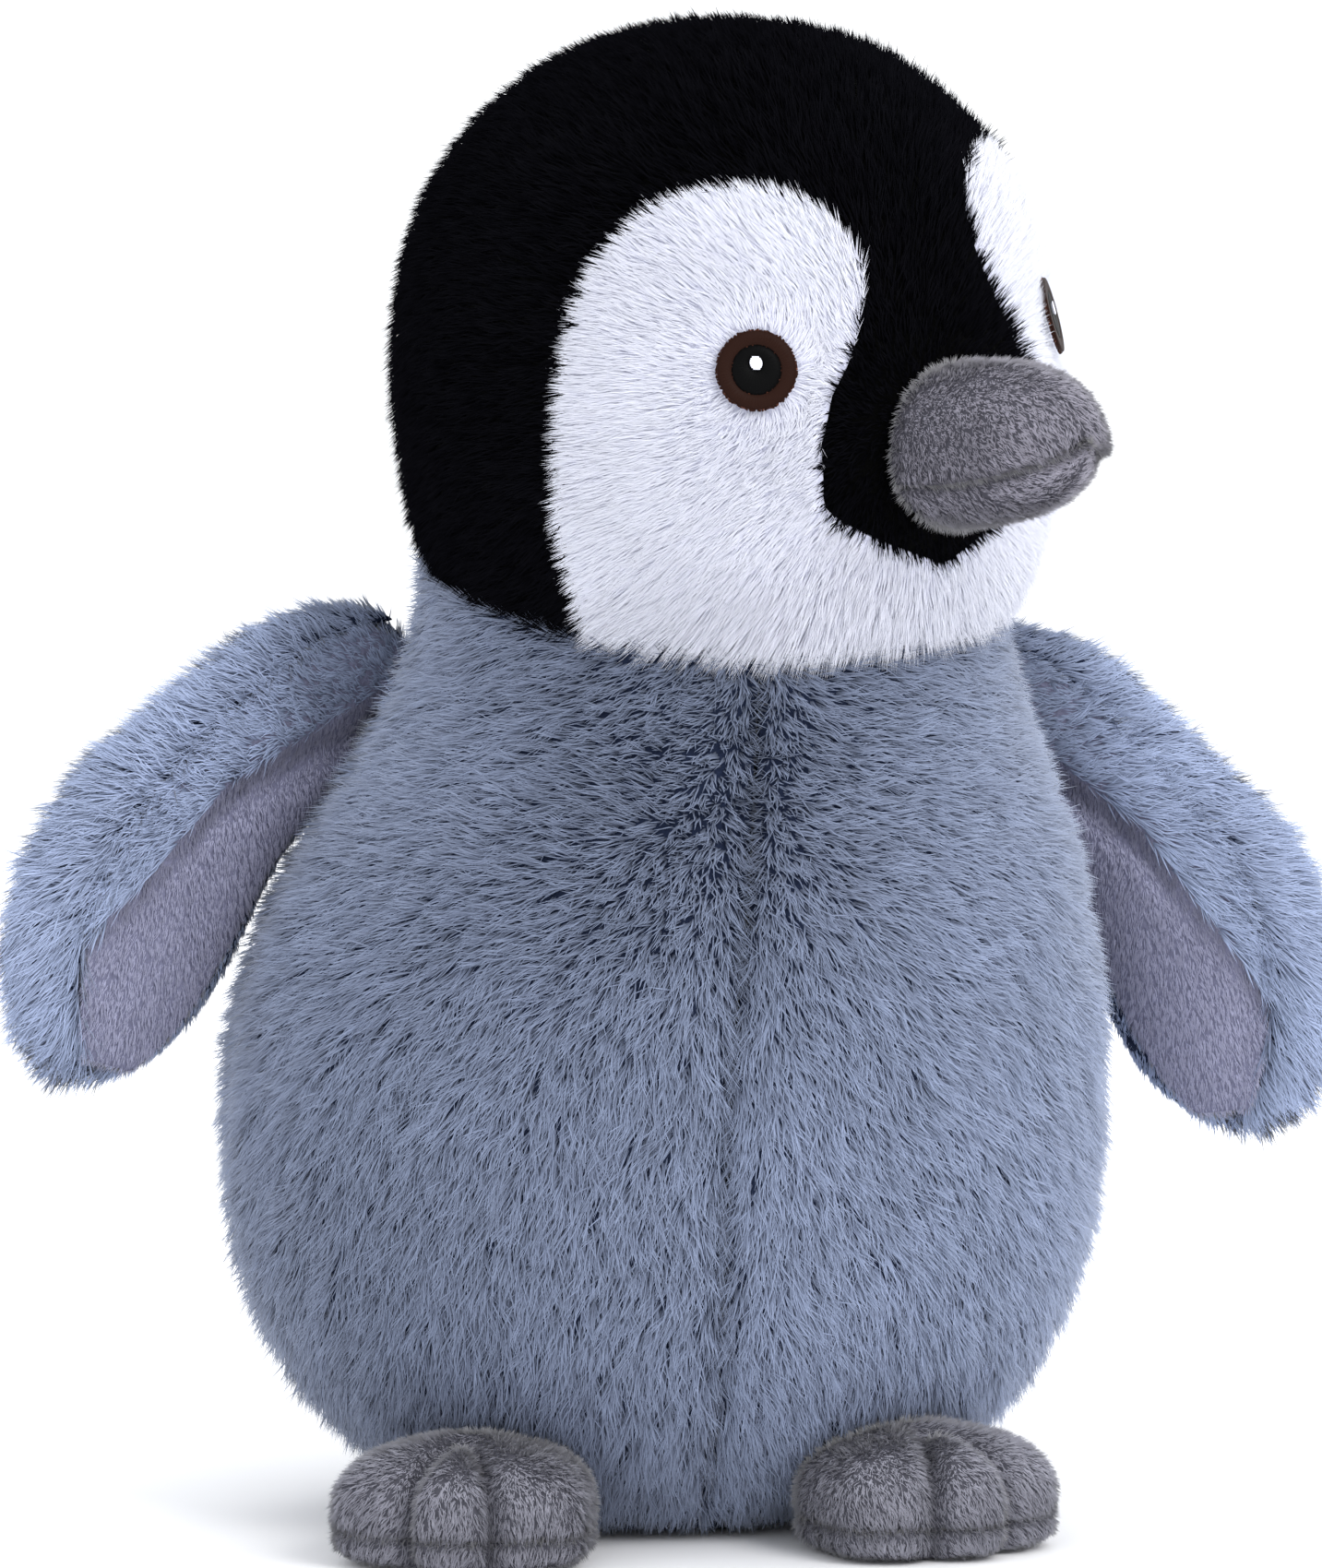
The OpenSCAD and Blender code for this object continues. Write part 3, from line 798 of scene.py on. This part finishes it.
def beak_shape(points, normals):
    """The upper half bulges over the lower one along the mouth, most of all at the tip."""
    local = moved(points, head_frame().inverted())
    share, over = above_mouth(local)
    near = bell(over, 0.0034) * ramp(share, 0.08, 0.35)
    sideways = columns(local[:, 0], 0.001, 0.35 * over)
    grow = np.where(over > 0, 0.0006, -0.0012 - 0.0006 * share)
    move = unit(sideways) * (grow * near)[:, None]
    move[:, 2] -= np.clip(over, -0.0007, 0.0007) * near
    return turned(move, head_frame())


class PENGUIN_OT_beak(bpy.types.Operator):
    """Make the upper and lower half of the beak, in short velour"""

    bl_idname = "penguin.beak"
    bl_label = "Beak"

    def execute(self, context):
        tones, pile = context.scene.penguin_colours, context.scene.penguin_pile
        velour = cloth_pair("beak_velour", tones.beak_shaded_root, tones.beak_tip, 0.5, sheen=0.4)
        there, back = head_frame(), head_frame().inverted()

        def comb(points, normals):
            local = moved(points, back)
            share, over = above_mouth(local)
            along = columns(0.3 * np.sign(local[:, 0]), -1.0, -0.35)
            lift = 26 + 12 * lumps(points, 0.006, 61)
            # Painted shade along the mouth seam, under the upper half's bulge.
            seam = bell(over, 0.0011) * ramp(share, 0.08, 0.3)
            # Painted highlight: a lighter band on the lower half just under the mouth, towards the tip.
            lip_highlight = bell(over + 0.0030, 0.0018) * ramp(share, 0.45, 0.8)
            # Painted highlight along the top of the beak.
            ridge = ramp(local[:, 2] - BEAK_ROOT.z, 0.003, 0.015)
            # Tone: painted shade along the mouth, painted highlights on the lower lip and the top, and
            # random tone.
            tone = 1.0 - 0.55 * seam + 0.35 * lip_highlight + 0.22 * ridge + 0.10 * lumps(points, 0.009, 62)
            return turned(along, there), lift, np.full(len(points), pile.velour), tone

        nap = Nap(pile.velour, 0.00013, 6.5, 0.0011, 0.5, 14)
        for seed, half in enumerate(("beak_upper", "beak_lower"), 300):
            made = plush_panel(half, velour, 1, "beak_stuffing", None, beak_shape, nap, comb, seed)
            for piece in made[:2]:
                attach(piece, "head")
        return {"FINISHED"}


# ---- Embroidered eyes ----


def thread_template():
    """One stitch, a metre long along X and a metre across, modelled once for all the embroidery."""
    bpy.ops.object.select_all(action="DESELECT")
    bpy.ops.mesh.primitive_cylinder_add(vertices=6, radius=0.5, depth=1, rotation=(0, math.pi / 2, 0))
    thread = bpy.context.object
    bpy.ops.object.transform_apply(location=True, rotation=True, scale=True)
    bpy.ops.object.mode_set(mode="EDIT")
    bpy.ops.mesh.select_all(action="DESELECT")
    bpy.ops.mesh.select_mode(type="FACE")
    bpy.ops.object.mode_set(mode="OBJECT")
    for face in thread.data.polygons:
        face.select = abs(face.normal.x) > 0.9
    bpy.ops.object.mode_set(mode="EDIT")
    bpy.ops.mesh.inset(thickness=0.2, depth=0.06)
    bpy.ops.mesh.select_all(action="SELECT")
    bpy.ops.mesh.quads_convert_to_tris()
    bpy.ops.object.mode_set(mode="OBJECT")
    points = spots(thread)
    faces = [tuple(p.vertices) for p in thread.data.polygons]
    bpy.data.objects.remove(thread)
    return points, faces


def embroidery(name, template, starts, ends, wide, material, frame_of, seed):
    """A piece of threads laid from starts to ends, in an eye's own frame."""
    rng = np.random.default_rng(seed)
    shape, faces = template
    points, polygons, shades = [], [], []
    for start, end in zip(starts, ends):
        run = end - start
        size = np.linalg.norm(run)
        x = run / size
        y = np.cross([0, 0, 1], x)
        y /= np.linalg.norm(y)
        z = np.cross(x, y)
        bow = (0.25 - shape[:, 0] ** 2)[:, None] * z * wide * 0.9
        laid = (start + end) / 2 + shape[:, :1] * size * x + shape[:, 1:2] * wide * y
        laid = laid + shape[:, 2:] * wide * 0.8 * z + bow
        polygons += [tuple(len(points) * len(shape) + i for i in f) for f in faces]
        points.append(laid)
        shades.append(np.full(len(shape), rng.random()))
    points = moved(np.concatenate(points), frame_of)
    if frame_of.determinant() < 0:
        polygons = [f[::-1] for f in polygons]
    return new_piece(name, points, polygons, material, "shade", "FLOAT", "value", np.concatenate(shades))


def thread_material(name, tone, spread):
    """Satin thread, with a shade of its own for each stitch and a fine twist."""
    material, tree, shader = new_material(name, 0.5, 0.0, 0.06)
    own = read_layer(tree, "shade").outputs["Fac"]
    change = math_node(tree, "MULTIPLY", math_node(tree, "SUBTRACT", own, 0.5), spread)
    bright = math_node(tree, "ADD", change, 1.0)
    tree.links.new(scaled_colour(tree, tone, bright), shader.inputs["Base Color"])
    twist = add_node(tree, "TexNoise", Scale=5000, Vector=object_place(tree))
    relief(tree, shader, twist.outputs[0], 0.4, 0.0001)
    return material


def polar(radius, angle, height):
    """Points on an eye, from distances from its middle and angles."""
    return columns(radius * np.cos(angle), radius * np.sin(angle), height)


class PENGUIN_OT_eyes(bpy.types.Operator):
    """Embroider the iris, pupil and glint of each eye"""

    bl_idname = "penguin.eyes"
    bl_label = "Eyes"

    def execute(self, context):
        tones = context.scene.penguin_colours
        template = thread_template()
        brown = thread_material("brown_thread", tones.brown, 1.6)
        rim = thread_material("brown_thread_rim", tuple(0.35 * c for c in tones.brown), 0.6)
        black = thread_material("black_thread", tones.black, 0.9)
        white = thread_material("white_thread", tones.white, 0.15)
        rng = np.random.default_rng(7)
        for seed, side in enumerate(SIDES, 400):
            place = eye_frame(side)
            turns = np.linspace(0, 2 * math.pi, STITCHES, endpoint=False)

            def jitter(size):
                return size * rng.standard_normal(STITCHES)

            ring = (
                polar(0.0042 + jitter(0.00020), turns + jitter(0.03), 0.0007),
                polar(0.0073 + jitter(0.00015), turns + 0.12 + jitter(0.04), 0.0005),
            )
            edge = (
                polar(0.0066 + jitter(0.0002), turns + jitter(0.02), 0.0007),
                polar(0.0077 + jitter(0.00008), turns + 0.03 + jitter(0.02), 0.0003),
            )
            inner = (
                polar(0.0003 + 0.0012 * np.abs(jitter(1)), turns + jitter(0.1), 0.0008),
                polar(0.0049 + jitter(0.00012), turns + 0.06 + jitter(0.04), 0.0007),
            )
            rows = np.linspace(-0.0011, 0.0011, GLINT_THREADS)
            reach = np.sqrt(np.maximum(1e-8, 0.0012**2 - (rows * 0.9) ** 2)) * 0.9
            glint = (
                columns(-reach, rows + 0.0012, 0.0013),
                columns(reach, rows + 0.00135, 0.0013),
            )
            for node, runs, wide, finish in (
                ("iris", ring, 0.00046, brown),
                ("rim", edge, 0.00046, rim),
                ("pupil", inner, 0.00050, black),
                ("glint", glint, 0.00036, white),
            ):
                piece = embroidery(f"{node}_{side}_stitches", template, *runs, wide, finish, place, seed)
                if node != "rim":
                    bed = rounded(copy_of(f"{node}_{side}", f"{node}_{side}_bed"), 1)
                    finish_with(bed, finish)
                    set_spots(bed, spots(bed) + turned(np.array([0, 0, -0.0004]), place))
                    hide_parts(f"{node}_{side}")
                    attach(bed, "head")
                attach(piece, "head")
        return {"FINISHED"}


# ---- Wings ----


def over_border(local):
    """How far points are above the line on a wing's front where the plush ends and the velour begins."""
    x = local[:, 0]
    return local[:, 2] - np.where(x < 0.0166, -0.0095 - 0.83 * x, -0.0232 - 1.5 * (x - 0.0166))


def beside_middle(local):
    """How far points are from a wing's curved middle line, towards the body."""
    rise = np.clip(0.643 + local[:, 2] / 0.132, -0.1, 1)
    return 0.132 * (np.sqrt(1 - rise**2) - 0.766) - local[:, 0]


def wing_shape(side, front=False):
    """The wing's root reaches in to the side seam, and the velour in front is tucked under the plush."""
    there, back = wing_frame(side), wing_frame(side).inverted()

    def move(points, normals):
        local = moved(points, back)
        near = ramp(-np.hypot(local[:, 0], local[:, 2]), -0.036, -0.006) * ramp(-local[:, 0], -0.012, 0.010)
        pull = np.zeros_like(local)
        arch = np.exp(-(((local[:, 0] - 0.032) / 0.026) ** 2) - (local[:, 2] / 0.032) ** 2)
        pull[:, 0] = -0.0170 * near - 0.0032 * arch
        pull[:, 2] = 0.0065 * near - 0.0036 * arch
        pull[:, 1] += 0.0010 * lumps(points, 0.022, 71)
        tuck = bell(over_border(local) + 0.002, 0.0035) * ramp(-local[:, 0], -0.030, -0.012)
        pull[:, 1] += 0.0032 * tuck * (local[:, 1] < 0)
        if front:
            low = ramp(-local[:, 2], 0.052, 0.078)
            pull[:, 2] -= 0.0045 * low
            pull[:, 1] -= 0.0012 * low
        return turned(pull, there)

    return move


def wing_comb(side, long, short, fold=False):
    """The wing's pile runs out and then down to the tip. In front, plush covers only the fold. The outer
    plush's tone is brighter than the body's as painted light and darker by the body as painted shade; the
    velour is darker under the plush's edge as painted shade.
    """
    there, back = wing_frame(side), wing_frame(side).inverted()

    def comb(points, normals):
        local = moved(points, back)
        down = ramp(-local[:, 2], -0.006, 0.080)
        size = np.full(len(points), long)
        if short:
            along = columns(0.15 + 0.1 * down, 0, -1)
            rise = 22 + 8 * lumps(points, 0.004, 72)
            over = over_border(local)
            # Painted shade: the velour darker just under the edge of the plush.
            tone = 1.06 + 0.05 * lumps(points, 0.02, 73) - 0.45 * ramp(over, -0.009, 0.0)
            size = size * (over < 0.001)
        else:
            along = columns(1.0 - 0.55 * down, 0.15, 0.05 - 0.95 * down)
            rise = 20 + 8 * lumps(points, 0.015, 72)
            # Painted light: the outer plush is made much brighter than the body's plush of the same
            # colours.
            # Painted shade: darker towards the root, where the wing meets the body.
            tone = 1.46 + 0.08 * lumps(points, 0.02, 73) - 0.4 * ramp(-local[:, 0], -0.012, 0.004)
            size = size * (0.45 + 0.55 * ramp(local[:, 0], -0.012, 0.018))
            by_body = ramp(beside_middle(local), -0.004, 0.012) * ramp(-local[:, 2], 0.010, 0.040)
            size = size * (1 - 0.72 * by_body)
            if fold:
                size = size * (over_border(local) > 0) * 0.8
        return turned(along, there), rise, size, tone

    return comb


class PENGUIN_OT_wings(bpy.types.Operator):
    """Make each wing's plush outside and velour inside, sewn to the body at the shoulder"""

    bl_idname = "penguin.wings"
    bl_label = "Wings"

    def execute(self, context):
        tones, pile = context.scene.penguin_colours, context.scene.penguin_pile
        plush = cloth_pair("wing_plush", tones.grey_shaded_root, tones.grey_tip, 0.45)
        velour = cloth_pair("mauve_velour", tones.mauve_shaded_root, tones.mauve_tip, 0.28, sheen=0.4)
        for seed, side in enumerate(SIDES, 500):
            for face, finish, nap, slot in (
                ("outer", plush, Nap(pile.wing, 0.00024, 3.2, 0.0025, 0.45, 15), "grey_plush"),
                ("inner", velour, Nap(pile.velour, 0.00014, 5.5, 0.0015, 0.6, 8), "mauve_velour"),
            ):
                front = face == "inner"
                shape, comb = wing_shape(side, front), wing_comb(side, nap.long, front)
                how = (f"wing_{side}_stuffing", None, shape, nap, comb, seed + len(face))
                cloth, fur, outside = plush_panel(f"wing_{side}_{face}", finish, 1, *how)
                pieces = {cloth: slot, fur: slot}
                if front:
                    comb = wing_comb(side, pile.wing, False, True)
                    over = Nap(pile.wing, 0.00024, 4.0, 0.0025, 0.45, 15)
                    name = f"wing_{side}_fold_pile"
                    fold = grow_pile(name, cloth, outside, over, comb, plush[1], seed + 50)
                    pieces[fold] = "grey_plush"
                for piece, kind in pieces.items():
                    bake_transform(piece)
        return {"FINISHED"}


# ---- Feet ----


def round_foot(local):
    """Points' distances from a foot's middle, and their angles from straight ahead."""
    return np.hypot(local[:, 0], local[:, 1]), np.arctan2(local[:, 0], -local[:, 1])


def foot_shape(side):
    """Two stitched grooves part the three toes, and the seam round the foot is pulled in."""
    there, back = foot_frame(side), foot_frame(side).inverted()

    def move(points, normals):
        local = moved(points, back)
        r, f = round_foot(local)
        outward = unit(columns(local[:, 0], local[:, 1], 0))
        change = np.zeros_like(local)
        ahead = ramp(-local[:, 1], -0.004, 0.010)
        for groove in TOE_GROOVES:
            across = r * np.sin(f - math.radians(groove))
            dip = bell(across, 0.0021) * ahead * (np.abs(f - math.radians(groove)) < 1.2)
            change -= outward * (dip * 0.0036 * ramp(r, 0.012, 0.022))[:, None]
            change[:, 2] -= dip * 0.0042 * ramp(local[:, 2], 0.005, 0.012)
        seam = bell(local[:, 2] - FOOT_SEAM, 0.0016) * ramp(r, 0.012, 0.020)
        change -= outward * (seam * 0.0012)[:, None]
        puff = ramp(local[:, 2], 0.008, 0.016) * ramp(r, 0.010, 0.018)
        change += outward * (puff * 0.0014)[:, None]
        low = ramp(-local[:, 2], -0.0065, -0.001)
        change += outward * (low * 0.0012 * ramp(r, 0.012, 0.020))[:, None]
        return turned(change, there) * ramp(points[:, 2], -0.0001, 0.002)[:, None]

    return move


def foot_comb(side, long):
    """The velour of a foot runs forwards to the toes and down. Its tone is darker in the seam round the
    foot and in the grooves as painted shade, and lighter on the tops of the toes as a painted highlight.
    """
    there, back = foot_frame(side), foot_frame(side).inverted()

    def comb(points, normals):
        local = moved(points, back)
        r, f = round_foot(local)
        along = columns(0.5 * np.sin(f), -1, -0.7)
        # Painted shade in the pulled-in seam round the foot.
        tone = 1.0 - 0.35 * bell(local[:, 2] - FOOT_SEAM, 0.0012)
        for groove in TOE_GROOVES:
            across = r * np.sin(f - math.radians(groove))
            # Painted shade in the stitched grooves between the toes.
            tone = tone - 0.4 * bell(across, 0.0011) * (local[:, 1] < -0.004)
        # Painted highlight on the tops of the toes.
        tone = tone + 0.25 * ramp(local[:, 2], 0.010, 0.018) * ramp(r, 0.008, 0.020) * (local[:, 1] < 0)
        size = long * (local[:, 2] > 0.0008) * (1 - 0.4 * (local[:, 2] < 0.003))
        return turned(along, there), 30 + 12 * lumps(points, 0.006, 81), size, tone

    return comb


class PENGUIN_OT_feet(bpy.types.Operator):
    """Make each foot's top and sole, with three toes"""

    bl_idname = "penguin.feet"
    bl_label = "Feet"

    def execute(self, context):
        tones, pile = context.scene.penguin_colours, context.scene.penguin_pile
        velour = cloth_pair("dark_velour", tones.dark_shaded_root, tones.dark_tip, 0.4, sheen=0.35)
        nap = Nap(pile.velour * 1.1, 0.00014, 5.5, 0.0012, 0.45, 14)
        for seed, side in enumerate(SIDES, 600):
            for face in ("top", "sole"):
                shape, comb = foot_shape(side), foot_comb(side, nap.long)
                how = (f"foot_{side}_stuffing", None, shape, nap, comb, seed + len(face))
                made = plush_panel(f"foot_{side}_{face}", velour, 2, *how)
                for piece in made[:2]:
                    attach(piece, f"foot_{side}")
        return {"FINISHED"}


# ---- Inside and label ----


def sunk(piece, depth):
    """Takes a stuffing in from the cloth round it, so none shows in the seams."""

    def move(points, normals):
        return -normals * depth + normals * 0.0004 * lumps(points, 0.01, 3)[:, None]

    shift(piece, move)


def out_of_tip(side):
    """Draws the end of a wing's stuffing up out of the thin tip."""
    back = wing_frame(side).inverted()

    def move(points, normals):
        return np.array([0, 0, 0.010]) * ramp(-moved(points, back), 0.050, 0.085)[:, 2:]

    return move


class PENGUIN_OT_stuffing(bpy.types.Operator):
    """Make the stuffing of each part, in the part's own fibre finish, and the pouch of beans"""

    bl_idname = "penguin.stuffing"
    bl_label = "Stuffing"

    def execute(self, context):
        fibre = bpy.data.materials["fibre_fill"]
        riders = {"head_stuffing": "head", "beak_stuffing": "head", "neck_stuffing": "neck"}
        for side in SIDES:
            riders[f"foot_{side}_stuffing"] = f"foot_{side}"
        for node, body in riders.items():
            piece = padded_copy(node, node + "_fill", fibre, 1)
            if node.startswith("foot"):
                shift(piece, foot_shape(body[5:]))
            if node.startswith("beak"):
                shift(piece, beak_shape)
            sunk(piece, 0.0030 if node.startswith("head") else 0.0012)
            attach(piece, body)
        for side in SIDES:
            piece = padded_copy(f"wing_{side}_stuffing", f"wing_{side}_stuffing_fill", fibre, 1)
            shift(piece, wing_shape(side))
            sunk(piece, 0.0014)
            shift(piece, out_of_tip(side))
            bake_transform(piece)
        fill = padded_copy("torso_stuffing", "torso_stuffing_fill", fibre, 1)
        shift(fill, body_shape)
        sunk(fill, 0.0012)
        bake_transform(fill)
        cotton = backing_material("bean_cloth", screen(168, 148, 116), screen(208, 190, 158), 700, 0.7)
        pouch = padded_copy("bean_pouch", "bean_pouch_cloth", cotton, 2)

        def beans(points, normals):
            return normals * (0.0007 * lumps(points, 0.006, 4) - 0.0008)[:, None]

        shift(pouch, beans)
        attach(pouch, "torso")
        return {"FINISHED"}


class PENGUIN_OT_label(bpy.types.Operator):
    """Make the blank tape label in the back seam"""

    bl_idname = "penguin.label"
    bl_label = "Label"

    def execute(self, context):
        tape = backing_material("label_tape", screen(225, 226, 228), screen(246, 246, 248), 1500, 0.5)
        piece = copy_of("care_label", "care_label_tape")
        pick(piece)
        bpy.ops.object.mode_set(mode="EDIT")
        bpy.ops.mesh.select_all(action="SELECT")
        bpy.ops.mesh.subdivide(number_cuts=5)
        bpy.ops.object.mode_set(mode="OBJECT")
        low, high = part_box("care_label")

        def curl(points, normals):
            t = (points[:, 1] - low.y) / (high.y - low.y)
            return columns(0, 0, -0.0015 * t * t + 0.0006 * np.sin(points[:, 0] * 500))

        shift(piece, curl)
        rounded(piece, 1)
        finish_with(piece, tape)
        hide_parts("care_label")
        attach(piece, "torso")
        return {"FINISHED"}


# ---- Stage ----


def area_light(name, at, aim, size, watts, tint):
    """A square soft light that looks at a point."""
    bpy.ops.object.select_all(action="DESELECT")
    bpy.ops.object.light_add(type="AREA", location=at)
    light = bpy.context.object
    light.name = name
    light.data.size = size
    light.data.energy = watts
    light.data.color = tint
    light.rotation_euler = (Vector(aim) - Vector(at)).to_track_quat("-Z", "Y").to_euler()


class PENGUIN_OT_stage(bpy.types.Operator):
    """Make the pale floor, the soft studio lights and the camera"""

    bl_idname = "penguin.stage"
    bl_label = "Stage"

    def execute(self, context):
        bpy.ops.object.select_all(action="DESELECT")
        bpy.ops.mesh.primitive_plane_add(size=60)
        floor = context.object
        floor.name = "floor"
        paper, _, shader = new_material("paper", 0.9, 0, 0.1)
        shader.inputs["Base Color"].default_value = (0.96, 0.96, 0.97, 1)
        floor.data.materials.append(paper)

        world = bpy.data.worlds.new("studio")
        world.use_nodes = True
        world.node_tree.nodes["Background"].inputs["Color"].default_value = (0.965, 0.98, 1.0, 1)
        world.node_tree.nodes["Background"].inputs["Strength"].default_value = 1.26
        context.scene.world = world
        middle = (0, 0, 0.16)
        area_light("key", (0.9, -1.5, 1.5), middle, 1.0, 20, (1.0, 0.99, 0.98))
        area_light("fill", (-1.6, -1.1, 0.7), middle, 1.2, 2.5, (0.95, 0.97, 1.0))
        area_light("rim", (0.6, 1.3, 1.4), middle, 0.8, 6, (1.0, 1.0, 1.0))

        yaw, pitch, away = math.radians(-10), math.radians(9), 1.6
        level = math.cos(pitch)
        toward = Vector((math.sin(yaw) * level, -math.cos(yaw) * level, math.sin(pitch)))
        right = Vector((math.cos(yaw), math.sin(yaw), 0))
        up = toward.cross(right)
        eye, aim = toward * away, up * 0.145 - right * 0.0003
        bpy.ops.object.select_all(action="DESELECT")
        bpy.ops.object.camera_add(location=eye)
        camera = context.object
        camera.name = "camera"
        camera.rotation_euler = (aim - eye).to_track_quat("-Z", "Y").to_euler()
        camera.data.sensor_fit = "VERTICAL"
        camera.data.sensor_height = 36
        camera.data.lens = 183.4
        camera.data.clip_end = 100
        context.scene.camera = camera
        context.scene.view_settings.view_transform = "Standard"
        return {"FINISHED"}


class PENGUIN_PT_panel(bpy.types.Panel):
    """Steps that make the penguin, and its settings"""

    bl_idname = "PENGUIN_PT_panel"
    bl_label = "Plush Penguin"
    bl_space_type = "VIEW_3D"
    bl_region_type = "UI"
    bl_category = "Penguin"

    def draw(self, context):
        for step in STEPS:
            self.layout.operator(step.bl_idname)
        for settings in (context.scene.penguin_colours, context.scene.penguin_pile):
            for name in settings.bl_rna.properties.keys()[2:]:
                self.layout.prop(settings, name)


STEPS = (
    PENGUIN_OT_torso,
    PENGUIN_OT_head,
    PENGUIN_OT_beak,
    PENGUIN_OT_eyes,
    PENGUIN_OT_wings,
    PENGUIN_OT_feet,
    PENGUIN_OT_stuffing,
    PENGUIN_OT_label,
    PENGUIN_OT_stage,
)
CLASSES = (PenguinColours, PenguinPile, *STEPS, PENGUIN_PT_panel)


def register():
    """Registers the settings, the steps and the panel."""
    for one in CLASSES:
        bpy.utils.register_class(one)
    bpy.types.Scene.penguin_colours = PointerProperty(type=PenguinColours)
    bpy.types.Scene.penguin_pile = PointerProperty(type=PenguinPile)


def unregister():
    """Takes them out again."""
    del bpy.types.Scene.penguin_pile
    del bpy.types.Scene.penguin_colours
    for one in reversed(CLASSES):
        bpy.utils.unregister_class(one)


def main():
    """Makes the whole penguin."""
    register()
    bpy.ops.penguin.torso()
    bpy.ops.penguin.head()
    bpy.ops.penguin.beak()
    bpy.ops.penguin.eyes()
    bpy.ops.penguin.wings()
    bpy.ops.penguin.feet()
    bpy.ops.penguin.stuffing()
    bpy.ops.penguin.label()
    bpy.ops.penguin.stage()


if __name__ == "__main__":
    main()
